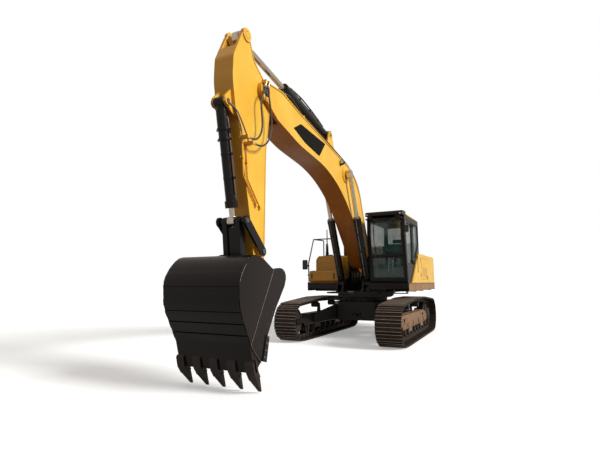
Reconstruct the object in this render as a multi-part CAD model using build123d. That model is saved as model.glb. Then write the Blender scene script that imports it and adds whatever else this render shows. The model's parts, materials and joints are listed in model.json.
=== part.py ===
"""Crawler excavator of the 33 to 36 tonne class, parked with its bucket curled.

Frame: +Z up, the bucket toward -Y, the cab on the +X side. Side outlines are lists of
(y, z) points measured from the slew axis at ground level, in millimetres. The finished
pieces are moved by SLEW_Y, so the part's origin is the bottom centre of its whole box.
"""
from build123d import *
import math
import os

SLEW_Y = 1914.0

# Running gaps
PIN_GAP = 0.3
SIDE_GAP = 5.0

# Pin centres of the upper structure, boom, arm and bucket
BOOM_FOOT = (-300.0, 2060.0)
BOOM_NOSE = (-5980.0, 4720.0)
BOOM_CYL_FOOT = (-880.0, 1450.0)
BOOM_CYL_HEAD = (-2100.0, 4170.0)
ARM_CYL_FOOT = (-2800.0, 5000.0)
ARM_CYL_HEAD = (-6480.0, 5490.0)
BUCKET_CYL_FOOT = (-6890.0, 4210.0)
ROCKER_TOP = (-6520.0, 2430.0)
ROCKER_PIN = (-6035.0, 1990.0)
LINK_PIN = (-6450.0, 1830.0)
BUCKET_PIN = (-6030.0, 1520.0)

# Tracks
GAUGE_HALF = 1295.0
SHOE_WIDTH = 600.0
SHOE_COUNT = 49
SHOE_THICK = 14.0
GROUSER = 26.0
GROUSER_TIP = 14.0
PIN_TO_SHOE = 48.0
RAIL_DEPTH = 50.0
RAIL_IN = 48.0
RAIL_OUT = 92.0
IDLER_Y = -2015.0
SPROCKET_Y = 2015.0
END_WHEEL_Z = 497.0
END_PIN_RADIUS = 397.0
BEND_Y = 1560.0
CARRIER_Y = 620.0
CARRIER_TOP_Z = 995.0
CARRIER_RADIUS = 78.0
CARRIER_SAG = 4.0
ROLLER_RADIUS = 95.0
ROLLER_COUNT = 8
ROLLER_FIRST_Y = -1350.0
ROLLER_LAST_Y = 1350.0
ROLLER_HALF_WIDTH = 100.0
SPROCKET_TEETH = 21

# Track frames and car body
FRAME_BOTTOM_Z = 350.0
FRAME_TOP_Z = 660.0
FRAME_HALF_WIDTH = 145.0
CAR_HALF_WIDTH = 700.0
CAR_HALF_LENGTH = 800.0
CAR_BOTTOM_Z = 470.0
CAR_TOP_Z = 960.0
EYE_Z = 620.0
EYE_REACH = 90.0
EYE_HALF = 75.0
EYE_BORE_R = 32.0
EYE_THICK = 50.0
EYE_PAD = 22.0
COVER_PLACES = (-1050.0, -350.0, 350.0, 1050.0)
COVER_Z = 440.0
COVER_R = 60.0
COVER_THICK = 14.0
GUARD_PLACES = (-771.0, 771.0)
GUARD_HALF = 180.0
GUARD_BOTTOM_Z = 255.0
SLEW_RADIUS = 640.0
SLEW_LOWER_TOP_Z = 1070.0
SLEW_UPPER_TOP_Z = 1190.0

# Upper structure
DECK_HALF_WIDTH = 1490.0
TAIL_RADIUS = 3440.0
SKIRT_BOTTOM_Z = 1310.0
DECK_TOP_Z = 1470.0
PLATE = 40.0
TOWER_IN = 255.0
TOWER_OUT = 300.0
TOWER_REAR_Z = 1400.0
CYL_LUG_IN = 60.0
CYL_LUG_OUT = 95.0
BOOM_FOOT_PIN_R = 75.0
BOOM_CYL_PIN_R = 50.0
HOUSE_TOP_Z = 2300.0
HOOD_TOP_Z = 2560.0
WALL = 30.0

# Cab
CAB_IN_X = 470.0
CAB_OUT_X = 1455.0
CAB_BOTTOM_Z = DECK_TOP_Z
CAB_TOP_Z = 3250.0
CAB_WALL = 45.0

# Boom, arm and bucket sections, half widths across X
BOOM_HALF = 250.0
BOOM_WALL = 22.0
ARM_HALF = 180.0
ARM_WALL = 18.0
BUCKET_HALF = 640.0
BUCKET_WALL = 26.0
TOOTH_COUNT = 5
TOOTH_TIP = (-6655.0, 25.0)

# Bucket ears and rocker plates outside the arm
EAR_IN = ARM_HALF + 6.0
EAR_OUT = EAR_IN + 36.0
ROCKER_IN = EAR_OUT + SIDE_GAP
ROCKER_OUT = ROCKER_IN + 36.0

# Cylinders: half spacing across X, barrel and rod radius, pin to gland
BOOM_CYL_X = 358.0
BOOM_BARREL_R = 98.0
BOOM_ROD_R = 52.0
ARM_BARREL_R = 95.0
ARM_ROD_R = 55.0
BUCKET_BARREL_R = 80.0
BUCKET_ROD_R = 47.0
ROD_GAP = 0.2

# Each cylinder: rod length that shows at rest, closed end of its bore, and travel left to retract
BOOM_ROD_SHOWN = 1151.0
BOOM_BORE_END = 320.0
BOOM_RETRACT = 862.0
ARM_ROD_SHOWN = 1562.0
ARM_BORE_END = 320.0
ARM_RETRACT = 1187.0
BUCKET_ROD_SHOWN = 208.0
BUCKET_BORE_END = 200.0
BUCKET_RETRACT = 42.0

# Decks, tail and the closed rooms on them
DECK_FRONT_CAB = -1050.0
DECK_FRONT_TANK = -700.0
DECK_INNER_GAP = 170.0
BOTTOM_PLATE_HALF = 700.0
TAIL_FRONT_Y = 2350.0
TAIL_BOTTOM_Z = 1250.0
TAIL_UNDERCUT = 120.0
TAIL_EDGE = 30.0
TAIL_GROOVE_Z = 1720.0
TAIL_GROOVE = 10.0
TAIL_EYE = (2800.0, 45.0, 75.0, 32.0)
TAIL_EYE_X = 560.0
TAIL_EYE_HALF = 18.0
LEFT_BAY_Y = 720.0
RIGHT_BAY_Y = 980.0
PANEL_SLOT = (300.0, 1985.0, 450.0, 60.0)
SLOT_DEPTH = 12.0
ENGINE_BOX = (-600.0, 750.0, 1350.0, 2150.0, 2200.0)

# Hood and service doors
KNUCKLE_R = 8.0
KNUCKLE_LENGTH = 60.0
HOOD_HALF = 950.0
HOOD_FRONT_Y = 1200.0
HOOD_RISE = (520.0, 180.0, 45.0)
HOOD_HINGE = (HOOD_FRONT_Y - KNUCKLE_R, HOOD_TOP_Z + KNUCKLE_R)
HOOD_HINGE_X = (-700.0, 580.0)
SERVICE_DOORS = {1: (733.0, 1967.0), -1: (1113.0, 2167.0)}
DOOR_HINGE_Z = (1640.0, 2060.0)
DOOR_BOTTOM_Z = 1570.0
DOOR_TOP_Z = 2190.0
DOOR_THICK = 28.0
DOOR_GAP = 6.0
LOUVRE_COUNT = 8
LOUVRE_PITCH = 34.0
LOUVRE_HEIGHT = 14.0
LOUVRE_MARGIN = 260.0
EXHAUST_Y = 1600.0
EXHAUST_X = -1150.0
EXHAUST_R = 55.0
EXHAUST_HEIGHT = 400.0
EXHAUST_WALL = 8.0

# Tank, step box and rails
TANK_OUT_X = DECK_HALF_WIDTH - 90.0
TANK_WALL = 12.0
TANK_IN_X = 500.0
TANK_FRONT_Y = -460.0
TANK_REAR_Y = 940.0
TANK_TOP_Z = 2260.0
TANK_LEAN = 60.0
STEP_FRONT_Y = -760.0
STEP_TOP_Z = 1815.0
STEP_TOE = 50.0
STEP_TOE_Z = 1540.0
STEP_EDGE = 20.0
RAIL_X = DECK_HALF_WIDTH - 40.0
RAIL_R = 17.0
RAIL_KNEE = (-720.0, 2020.0)
RAIL_TOP = (-350.0, 2770.0)
RAIL_REAR = (430.0, 2800.0)
POST = (-1000.0, -370.0, 340.0, 26.0)
MIRROR_REACH = 140.0
MIRROR_THICK = 30.0
MIRROR_Y = (-870.0, -720.0)
MIRROR_Z = (1860.0, 2130.0)
ENTRY_STEP_X = (DECK_HALF_WIDTH - 400.0, DECK_HALF_WIDTH - 50.0)
ENTRY_STEP_Z = 1195.0
ENTRY_STEP_DEPTH = 190.0

# Cab outlines and openings, measured down from the cab's top where they hang from it
CAB_REAR_Y = 690.0
WINDOW_TOP_Z = CAB_TOP_Z - 160.0
DOOR_HEAD_Z = CAB_TOP_Z - 140.0
BROW_Z = CAB_TOP_Z - 550.0
CAB_SIDE = [
    (-930.0, CAB_BOTTOM_Z), (CAB_REAR_Y, CAB_BOTTOM_Z), (CAB_REAR_Y, CAB_TOP_Z - 60.0),
    (CAB_REAR_Y - 50.0, CAB_TOP_Z), (-1080.0, CAB_TOP_Z - 30.0), (-1130.0, CAB_TOP_Z - 90.0),
    (-1150.0, BROW_Z),
]
CAB_CORNER_R = 25.0
DOOR_SIDE = [
    (-880.0, 1540.0), (-600.0, 1540.0), (-210.0, 1860.0), (-210.0, DOOR_HEAD_Z),
    (-1060.0, DOOR_HEAD_Z), (-1090.0, BROW_Z),
]
WINDOW_R = 40.0
DOOR_RAIL = 75.0
DOOR_PANEL_Z = 1980.0
HINGE_Y = -175.0
HINGE_X = CAB_OUT_X + 22.0
HINGE_R = 15.0
HINGE_Z = (1960.0, CAB_TOP_Z - 290.0)
HINGE_HEIGHT = 60.0
REAR_SIDE_WINDOW = [
    (-60.0, WINDOW_TOP_Z - 940.0), (120.0, WINDOW_TOP_Z - 940.0), (600.0, WINDOW_TOP_Z - 530.0),
    (600.0, WINDOW_TOP_Z), (-60.0, WINDOW_TOP_Z),
]
RIGHT_WINDOW = [
    (-1020.0, WINDOW_TOP_Z - 890.0), (560.0, WINDOW_TOP_Z - 530.0), (560.0, WINDOW_TOP_Z),
    (-1020.0, WINDOW_TOP_Z),
]
CAB_PILLAR = 90.0
FRONT_SILL_Z = WINDOW_TOP_Z - 890.0
LOWER_PANE_Z = (1600.0, 2120.0)
REAR_PANE_Z = WINDOW_TOP_Z - 470.0
GLASS_IN = 16.0
GLASS_THICK = 8.0
ROOF_THICK = 45.0
VISOR_DROP = 105.0
VISOR_REACH = 250.0
VISOR_THICK = 50.0
VISOR_LAMP_X = (600.0, 1320.0)
SEAT_BOTTOM_Z = 1998.0
SEAT_X = (710.0, 1210.0)
CONSOLE_X = (600.0, 1220.0)
CONSOLE_WIDTH = 100.0
CONSOLE_TOP_Z = 2220.0

# Boom: corners of its side as (y, z, radius), from the foot over the back to the nose
BOOM_HEEL = (-130.0, 2150.0)
BOOM_BACK = (-1216.0, 4342.0)
BOOM_BACK_R = 1500.0
BOOM_CREST = (-4687.0, 4832.0)
BOOM_SIDE = [
    (*BOOM_HEEL, 0.0), (*BOOM_BACK, BOOM_BACK_R), (*BOOM_CREST, 0.0), (-5400.0, 4965.0, 250.0),
    (-6010.0, 4905.0, 90.0), (-6120.0, 4620.0, 60.0), (-5930.0, 4560.0, 60.0), (-5571.0, 4360.0, 200.0),
    (-4691.0, 4164.0, 2500.0), (-2522.0, 3970.0, 3600.0), (-480.0, 1960.0, 0.0),
]
FLANGE = 12.0
BOOM_FOOT_R = 190.0
BOOM_NOSE_R = 165.0
FORK_DEPTH = 440.0
ARM_BOSS_HALF = 180.0
ARM_PIN_R = 65.0
ARM_CYL_PIN_R = 45.0
BOOM_HEAD_R = 110.0
BOOM_HEAD_OUT = 50.0

# Pipes on the boom's back and on the arm's side
PIPE_R = 14.0
PIPE_LIFT = 42.0
PIPE_X = (150.0, 200.0)
PIPE_START = 650.0
PIPE_END = 3250.0
CLAMP_HALF = 32.0
CLAMP_PLACES = (300.0, 1250.0, 2250.0)
ARM_PIPE_R = 12.0
ARM_PIPE_X = ARM_HALF + 16.0
ARM_PIPE_BEND = 120.0
ARM_CLAMP = (46.0, 46.0)

# Hoses over the arm joint: x, then (y, z) points from the boom's fitting to the arm's
HOSE_R = 15.0
HOSE_FRONT_X = 300.0
HOSE_REAR_X = 318.0
HOSE_FRONT = [
    (-6085.0, 4815.0), (-6085.0, 4695.0), (-6195.0, 4560.0), (-6225.0, 4400.0), (-6190.0, 4215.0),
    (-6165.0, 4010.0), (-6240.0, 3835.0), (-6395.0, 3715.0), (-6580.0, 3715.0),
]
HOSE_REAR = [
    (-6015.0, 4815.0), (-6015.0, 4650.0), (-5960.0, 4470.0), (-5915.0, 4290.0), (-5905.0, 4080.0),
    (-5955.0, 3900.0), (-6080.0, 3745.0), (-6260.0, 3650.0), (-6460.0, 3650.0),
]
FITTING = 52.0

# Arm: corners of its side as (y, z, radius), from the top end round the rear to the tip
ARM_SIDE = [
    (-6605.0, 5490.0, 60.0), (-6380.0, 5460.0, 60.0), (-6262.0, 5170.0, 150.0), (-5985.0, 4985.0, 120.0),
    (-5757.0, 4870.0, 60.0), (-5725.0, 4560.0, 200.0), (-5850.0, 3700.0, 1500.0), (-5875.0, 2100.0, 900.0),
    (-5915.0, 1520.0, 60.0), (-6145.0, 1500.0, 60.0), (-6275.0, 2314.0, 800.0), (-6681.0, 3973.0, 300.0),
    (-6767.0, 4170.0, 200.0), (-6852.0, 4600.0, 900.0), (-6838.0, 4980.0, 200.0),
]
ARM_FLANGE = 8.0
ARM_BOSS_R = 150.0
ARM_TIP_R = 115.0
ARM_FORK_HALF = 130.0
ARM_HEAD_R = 118.0
BUCKET_PIN_R = 50.0
ROCKER_PIN_R = 45.0
BUCKET_CYL_PIN_R = 40.0
BUCKET_LUG_IN = 86.0
BUCKET_LUG_OUT = 122.0

# Bucket: corners (y, z, radius) of its back from the top plate to the lip, then of the mouth
BUCKET_REAR_Y = -7254.0
BUCKET_BACK = [
    (-6190.0, 1602.0, 0.0), (-6431.0, 1672.0, 60.0), (-6700.0, 1812.0, 200.0), (-6893.0, 1888.0, 70.0),
    (BUCKET_REAR_Y, 1610.0, 330.0), (BUCKET_REAR_Y, 1180.0, 500.0), (-6990.0, 705.0, 200.0),
    (-6870.0, 300.0, 0.0),
]
BUCKET_MOUTH = [
    (-6650.0, 470.0, 60.0), (-6560.0, 735.0, 200.0), (-6310.0, 1127.0, 900.0), (-6050.0, 1440.0, 120.0),
    (-5985.0, 1590.0, 70.0), (-6075.0, 1700.0, 60.0), (-6220.0, 1698.0, 40.0), (-6330.0, 1640.0, 0.0),
]
LIP_THICK = 40.0
LIP_DEPTH = 260.0
WEAR_THICK = 14.0
WEAR_WIDTH = 90.0
WEAR_REACH = 600.0
MOUTH_BAND = (55.0, 10.0)
MOUTH_BAND_ZONE = [(-6620.0, 700.0), (-6300.0, 700.0), (-5900.0, 1500.0), (-6250.0, 1500.0)]
WEAR_HEIGHTS = (1385.0, 1225.0, 1065.0, 905.0, 750.0)
CUTTER = [(-6690.0, 430.0), (-6590.0, 400.0), (-6515.0, 740.0), (-6590.0, 770.0)]
CUTTER_THICK = 24.0
TOOTH_EDGE = 42.0
ADAPTER_HALF = 66.0
ADAPTER_OUT = 28.0
ADAPTER_CHEEK = 170.0
ADAPTER_NOSE = 110.0
TOOTH_BASE = (118.0, 92.0)
TOOTH_POINT = (46.0, 16.0)
EAR_R = 105.0

# Work lamp on the boom's side
LAMP = (-2407.0, 4400.0)
LAMP_R = 52.0
LAMP_DEPTH = 80.0
LAMP_X = 300.0



def outline(points, radius=0.0):
    """Flat face inside a closed run of points, with its corners rounded where asked."""
    if radius:
        return make_face(FilletPolyline(*points, radius=radius, close=True))
    return make_face(Polyline(*points, close=True))


def rounded(corners):
    """Flat face inside corners (y, z, radius), each rounded to its radius."""
    spans = []
    for i, (y, z, radius) in enumerate(corners):
        here = Vector(y, z)
        if not radius:
            spans.append((here, None, here))
            continue
        back = (Vector(*corners[i - 1][:2]) - here).normalized()
        ahead = (Vector(*corners[(i + 1) % len(corners)][:2]) - here).normalized()
        half = math.radians(back.get_angle(ahead)) / 2
        reach = radius / math.tan(half)
        crown = here + (back + ahead).normalized() * (radius / math.sin(half) - radius)
        spans.append((here + back * reach, crown, here + ahead * reach))
    edges = []
    for (start, crown, end), following in zip(spans, spans[1:] + spans[:1]):
        if crown is not None:
            edges.append(ThreePointArc(start, crown, end))
        edges.append(Line(end, following[0]))
    return make_face(edges)


def disc(point, radius):
    """Flat round face at a (y, z) point."""
    return Pos(*point) * Circle(radius)


def across(face, x_from, x_to):
    """Solid of a side outline between two distances across X."""
    return extrude(Plane.YZ.offset(x_from) * face, x_to - x_from)


def both_sides(face, x_in, x_out):
    """Two solids of a side outline, one each side of the middle."""
    one = across(face, x_in, x_out)
    return one + mirror(one, Plane.YZ)


def middle(face, half):
    """One solid of a side outline, centred across X."""
    return across(face, -half, half)


def block(x0, x1, y0, y1, z0, z1):
    """Box between two corners."""
    return Pos((x0 + x1) / 2, (y0 + y1) / 2, (z0 + z1) / 2) * Box(x1 - x0, y1 - y0, z1 - z0)


def upright(face, z0, z1):
    """Solid of a plan outline between two heights."""
    return extrude(Pos(0, 0, z0) * face, z1 - z0)


def rod(start, end, radius, x=0.0):
    """Round bar between two (y, z) points at one distance across X."""
    way = Vector(0, end[0] - start[0], end[1] - start[1])
    plane = Plane(origin=(x, *start), z_dir=way.normalized())
    return extrude(plane * Circle(radius), way.length)


def toward(start, end, distance):
    """Point at a distance from one (y, z) point toward another."""
    length = math.dist(start, end)
    return tuple(a + (b - a) * distance / length for a, b in zip(start, end))


def slab(start, end, half, x_from, x_to):
    """Flat bar with round ends between two (y, z) points."""
    middle_point = ((start[0] + end[0]) / 2, (start[1] + end[1]) / 2)
    angle = math.degrees(math.atan2(end[1] - start[1], end[0] - start[0]))
    length = math.dist(start, end)
    face = Pos(*middle_point) * Rot(0, 0, angle) * SlotCenterToCenter(length, 2 * half)
    return across(face, x_from, x_to)


def belt(wheels):
    """Closed loop round wheels ((y, z), radius): runs and arcs as (length, start, turn, radius)."""
    headings = []
    for (first, r1), (second, r2) in zip(wheels, wheels[1:] + wheels[:1]):
        apart = math.dist(first, second)
        heading = math.atan2(second[1] - first[1], second[0] - first[0])
        headings.append(heading + math.asin((r1 - r2) / apart))
    runs = []
    for i, (centre, radius) in enumerate(wheels):
        before, after = headings[i - 1], headings[i]
        turn = (after - before) % (2 * math.pi)
        touch = (centre[0] + radius * math.sin(after), centre[1] - radius * math.cos(after))
        next_centre, next_radius = wheels[(i + 1) % len(wheels)]
        leave = (
            next_centre[0] + next_radius * math.sin(after),
            next_centre[1] - next_radius * math.cos(after),
        )
        runs.append(("arc", radius * turn, centre, before, radius))
        runs.append(("line", math.dist(touch, leave), touch, after, 0.0))
    return runs


def along(runs, distance):
    """Point and heading at a distance along a belt."""
    for kind, length, start, heading, radius in runs:
        if distance <= length:
            if kind == "line":
                point = (
                    start[0] + distance * math.cos(heading),
                    start[1] + distance * math.sin(heading),
                )
                return point, heading
            now = heading + distance / radius
            return (start[0] + radius * math.sin(now), start[1] - radius * math.cos(now)), now
        distance -= length
    return along(runs, 0.0)


def track_wheels():
    """Wheels that the chain's pin line runs round, in order from the front bend."""
    bend_radius = ROLLER_RADIUS + RAIL_DEPTH
    bend_z = GROUSER + SHOE_THICK + PIN_TO_SHOE + bend_radius
    carrier_line = CARRIER_RADIUS + RAIL_DEPTH
    carrier_z = CARRIER_TOP_Z - carrier_line
    return [
        ((-BEND_Y, bend_z), bend_radius),
        ((BEND_Y, bend_z), bend_radius),
        ((SPROCKET_Y, END_WHEEL_Z), END_PIN_RADIUS),
        ((CARRIER_Y, carrier_z), carrier_line),
        ((-CARRIER_Y, carrier_z), carrier_line),
        ((IDLER_Y, END_WHEEL_Z), END_PIN_RADIUS),
    ]


def offset_point(a, b, forward, out):
    """Point from a chord a to b: forward along it and out from the loop."""
    length = math.dist(a, b)
    ty, tz = (b[0] - a[0]) / length, (b[1] - a[1]) / length
    return (a[0] + ty * forward + tz * out, a[1] + tz * forward - ty * out)


def corner_out(before, here, after, out):
    """Point out from a joint of the chain, along the line that halves its turn."""
    n1 = offset_point(before, here, 0.0, 1.0)
    n2 = offset_point(here, after, 0.0, 1.0)
    ny = (n1[0] - before[0]) + (n2[0] - here[0])
    nz = (n1[1] - before[1]) + (n2[1] - here[1])
    length = math.hypot(ny, nz)
    return (here[0] + ny / length * out, here[1] + nz / length * out)


def lifted(before, here, after, lift):
    """Corner of a line that runs at a height over two runs that meet at a point."""
    n1 = offset_point(before, here, 0.0, lift)
    n2 = offset_point(here, after, 0.0, lift)
    a = (n1[0] - before[0], n1[1] - before[1])
    b = (n2[0] - here[0], n2[1] - here[1])
    share = lift**2 / (lift**2 + a[0] * b[0] + a[1] * b[1])
    return (here[0] + (a[0] + b[0]) * share, here[1] + (a[1] + b[1]) * share)


def inset(corners, wall):
    """Corners (y, z, radius) of an open run, moved inward by a wall."""
    points = [corner[:2] for corner in corners]
    moved = [(*offset_point(points[0], points[1], 0.0, -wall), 0.0)]
    for i in range(1, len(points) - 1):
        y, z = lifted(points[i - 1], points[i], points[i + 1], -wall)
        moved.append((y, z, max(corners[i][2] - wall, 0.0)))
    length = math.dist(points[-2], points[-1])
    return moved + [(*offset_point(points[-2], points[-1], length, -wall), 0.0)]


def track(side):
    """Chain and shoes of one side as a fixed loop."""
    runs = belt(track_wheels())
    total = sum(run[1] for run in runs)
    pitch = total / SHOE_COUNT
    joints = [along(runs, (i + 0.5) * pitch)[0] for i in range(SHOE_COUNT)]
    top = PIN_TO_SHOE + SHOE_THICK
    ground, seam = [], []
    for i, joint in enumerate(joints):
        after = joints[(i + 1) % SHOE_COUNT]
        chord = math.dist(joint, after)
        half_tip = GROUSER_TIP / 2
        bar = chord / 2
        shoe = [
            (4.0, top), (4.0, top + GROUSER), (4.0 + GROUSER_TIP, top + GROUSER),
            (12.0 + GROUSER_TIP, top),
            (bar - GROUSER_TIP, top), (bar - half_tip, top + GROUSER),
            (bar + half_tip, top + GROUSER), (bar + GROUSER_TIP, top),
            (chord - 2.0 * GROUSER_TIP, top), (chord - GROUSER_TIP, top + GROUSER),
            (chord - 4.0, top),
        ]
        ground += [offset_point(joint, after, *point) for point in shoe]
        seam.append(corner_out(joints[i - 1], joint, after, PIN_TO_SHOE))
    inner = [
        corner_out(joints[i - 1], joint, joints[(i + 1) % SHOE_COUNT], -RAIL_DEPTH)
        for i, joint in enumerate(joints)
    ]
    shoes = outline(ground) - outline(seam)
    chain = outline(seam) - outline(inner)
    x = side * GAUGE_HALF
    body = across(shoes, x - SHOE_WIDTH / 2, x + SHOE_WIDTH / 2)
    body += across(chain, x - RAIL_OUT, x - RAIL_IN)
    body += across(chain, x + RAIL_IN, x + RAIL_OUT)
    return body


def turned(centre, x, rows):
    """Round solid about an X axis from rows of (x offset, radius)."""
    first, last = rows[0][0], rows[-1][0]
    points = [(first, 0.0)] + list(rows) + [(last, 0.0)]
    face = Plane.XY * make_face(Polyline(*points, close=True))
    return Pos(x, *centre) * revolve(face, Axis.X)


def end_tread():
    """Radius on which the chain's flat links rest at an end wheel."""
    runs = belt(track_wheels())
    pitch = sum(run[1] for run in runs) / SHOE_COUNT
    half_turn = pitch / 2 / END_PIN_RADIUS
    return (END_PIN_RADIUS - RAIL_DEPTH) * math.cos(half_turn) - 1.0


def idler(side):
    """Front idler with its centre flange and dished sides."""
    tread = end_tread()
    rows = [
        (-105.7, 70.0), (-105.7, 90.0), (-60.0, 110.0), (-60.0, tread - 45.0), (-92.0, tread - 30.0),
        (-92.0, tread), (-38.0, tread), (-34.0, tread + 22.0), (34.0, tread + 22.0), (38.0, tread),
        (92.0, tread), (92.0, tread - 30.0), (60.0, tread - 45.0), (60.0, 110.0), (105.7, 90.0),
        (105.7, 70.0),
    ]
    return turned((IDLER_Y, END_WHEEL_Z), side * GAUGE_HALF, rows)


def sprocket(side):
    """Toothed drive ring with its final drive hub."""
    centre = (SPROCKET_Y, END_WHEEL_Z)
    tip, root = END_PIN_RADIUS + 8.0, END_PIN_RADIUS - 42.0
    points = []
    for tooth in range(SPROCKET_TEETH):
        for share, radius in ((-0.30, root), (-0.12, tip), (0.12, tip), (0.30, root)):
            angle = 2 * math.pi * (tooth + share) / SPROCKET_TEETH
            points.append((centre[0] + radius * math.cos(angle), centre[1] + radius * math.sin(angle)))
    x = side * GAUGE_HALF
    ring = across(outline(points), x - 34.0, x + 34.0)
    hub = [(-34.0, 225.0), (70.0, 225.0), (86.0, 200.0), (120.0, 190.0), (132.0, 165.0)]
    if side < 0:
        hub = [(-x_off, radius) for x_off, radius in reversed(hub)]
    return ring + turned(centre, x, hub)


def roller_places():
    """Fore and aft places of the track rollers."""
    step = (ROLLER_LAST_Y - ROLLER_FIRST_Y) / (ROLLER_COUNT - 1)
    return [ROLLER_FIRST_Y + i * step for i in range(ROLLER_COUNT)]


def rollers(side):
    """Track rollers under a frame and carrier rollers above it, with their brackets."""
    x = side * GAUGE_HALF
    rail_z = GROUSER + SHOE_THICK + PIN_TO_SHOE + RAIL_DEPTH
    centre_z = rail_z + PIN_GAP + ROLLER_RADIUS
    flange = ROLLER_RADIUS + 16.0
    rim = ROLLER_HALF_WIDTH - 6.0
    rows = [
        (-ROLLER_HALF_WIDTH, flange), (-rim, flange), (-rim, ROLLER_RADIUS), (rim, ROLLER_RADIUS),
        (rim, flange), (ROLLER_HALF_WIDTH, flange),
    ]
    group = []
    for y in roller_places():
        wheel = turned((y, centre_z), x, rows)
        for end in (-1, 1):
            near = x + end * ROLLER_HALF_WIDTH
            far = x + end * (ROLLER_HALF_WIDTH + 35.0)
            cap = outline([
                (y - 45.0, FRAME_BOTTOM_Z), (y - 45.0, centre_z), (y - 28.0, centre_z - 50.0),
                (y + 28.0, centre_z - 50.0), (y + 45.0, centre_z), (y + 45.0, FRAME_BOTTOM_Z),
            ])
            wheel += across(cap, min(near, far), max(near, far))
        group.append(wheel)
    top_z = CARRIER_TOP_Z - RAIL_DEPTH - CARRIER_RADIUS - CARRIER_SAG
    for y in (-CARRIER_Y, CARRIER_Y):
        wheel = turned((y, top_z), x, [(-95.0, CARRIER_RADIUS), (95.0, CARRIER_RADIUS)])
        inward = x - side * 135.0
        near = x - side * 95.0
        stand = outline([
            (y - 90.0, FRAME_TOP_Z), (y - 50.0, top_z + 40.0), (y + 50.0, top_z + 40.0),
            (y + 90.0, FRAME_TOP_Z),
        ])
        wheel += across(stand, min(inward, near), max(inward, near))
        group.append(wheel)
    return group[0] + group[1:]


def track_frame(side):
    """Side beam that carries rollers, idler fork and final drive bracket."""
    x = side * GAUGE_HALF
    beam = outline([
        (-1640.0, FRAME_BOTTOM_Z), (1480.0, FRAME_BOTTOM_Z), (1590.0, 400.0), (1590.0, 600.0),
        (1490.0, FRAME_TOP_Z), (-1480.0, FRAME_TOP_Z), (-1640.0, 590.0),
    ])
    body = across(beam, x - FRAME_HALF_WIDTH, x + FRAME_HALF_WIDTH)
    slope = outline([
        (FRAME_HALF_WIDTH - 75.0, FRAME_TOP_Z + 1.0), (FRAME_HALF_WIDTH + 1.0, FRAME_TOP_Z + 1.0),
        (FRAME_HALF_WIDTH + 1.0, FRAME_TOP_Z - 130.0),
    ])
    cut = extrude(Plane.XZ.offset(1700.0) * slope, -3400.0)
    cut = cut if side > 0 else mirror(cut, Plane.YZ)
    body -= Pos(x, 0, 0) * cut
    fork = outline([
        (-1640.0, 430.0), (IDLER_Y, 430.0), (IDLER_Y - 70.0, 460.0), (IDLER_Y - 70.0, 535.0),
        (IDLER_Y, 565.0), (-1640.0, 565.0),
    ])
    for end in (-1, 1):
        low, high = sorted((x + end * 106.0, x + end * FRAME_HALF_WIDTH))
        body += across(fork, low, high)
    plate = outline([
        (1590.0, 400.0), (SPROCKET_Y, 270.0), (SPROCKET_Y + 160.0, 340.0),
        (SPROCKET_Y + 160.0, 660.0), (SPROCKET_Y, 730.0), (1590.0, 600.0),
    ])
    low, high = sorted((x - side * 34.3, x - side * FRAME_HALF_WIDTH))
    body += across(plate, low, high)
    outer = x + side * FRAME_HALF_WIDTH
    for y in COVER_PLACES:
        body += across(disc((y, COVER_Z), COVER_R), *sorted((outer, outer + side * COVER_THICK)))
    for y in GUARD_PLACES:
        for end in (-1, 1):
            low, high = sorted((x + end * (FRAME_HALF_WIDTH - 8.0), x + end * FRAME_HALF_WIDTH))
            body += block(low, high, y - GUARD_HALF, y + GUARD_HALF, GUARD_BOTTOM_Z, FRAME_BOTTOM_Z + 5.0)
    motor = [(-300.0, 150.0), (-280.0, 175.0), (-FRAME_HALF_WIDTH, 190.0)]
    if side < 0:
        motor = [(-x_off, radius) for x_off, radius in reversed(motor)]
    return body + turned((SPROCKET_Y, END_WHEEL_Z), x, motor)


def car_body():
    """Centre box with four tapered legs to the track frames."""
    plan = outline([
        (-CAR_HALF_WIDTH, -520.0), (-520.0, -CAR_HALF_LENGTH), (520.0, -CAR_HALF_LENGTH),
        (CAR_HALF_WIDTH, -520.0), (CAR_HALF_WIDTH, 520.0), (520.0, CAR_HALF_LENGTH),
        (-520.0, CAR_HALF_LENGTH), (-CAR_HALF_WIDTH, 520.0),
    ])
    body = upright(plan, CAR_BOTTOM_Z, CAR_TOP_Z)
    frame_in = GAUGE_HALF - FRAME_HALF_WIDTH
    root_x = CAR_HALF_WIDTH - 100.0
    for end in (-1, 1):
        inner = Plane.YZ.offset(root_x) * Pos(end * 400.0, 700.0) * Rectangle(400.0, 420.0)
        outer = Plane.YZ.offset(frame_in) * Pos(end * 790.0, 515.0) * Rectangle(420.0, 250.0)
        leg = loft([inner, outer])
        body += leg
        body += mirror(leg, Plane.YZ)
    return body + upright(Circle(SLEW_RADIUS + 30.0), CAR_TOP_Z, CAR_TOP_Z + 20.0)


def towing_eyes():
    """Bolted-on towing eye at each end of the car body."""
    face_y = CAR_HALF_LENGTH + PIN_GAP
    eyes = []
    for end in (-1, 1):
        plate = Pos(0, end * (face_y + EYE_REACH / 2)) * Rectangle(2 * EYE_HALF, EYE_REACH)
        plate += Pos(0, end * (face_y + EYE_REACH)) * Circle(EYE_HALF)
        plate -= Pos(0, end * (face_y + EYE_REACH)) * Circle(EYE_BORE_R)
        eye = upright(plate, EYE_Z - EYE_THICK / 2, EYE_Z + EYE_THICK / 2)
        y0, y1 = sorted((end * face_y, end * (face_y + EYE_PAD)))
        eyes.append(eye + block(-EYE_HALF - 50.0, EYE_HALF + 50.0, y0, y1, EYE_Z - 90.0, EYE_Z + 90.0))
    return eyes[0] + eyes[1]


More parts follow.
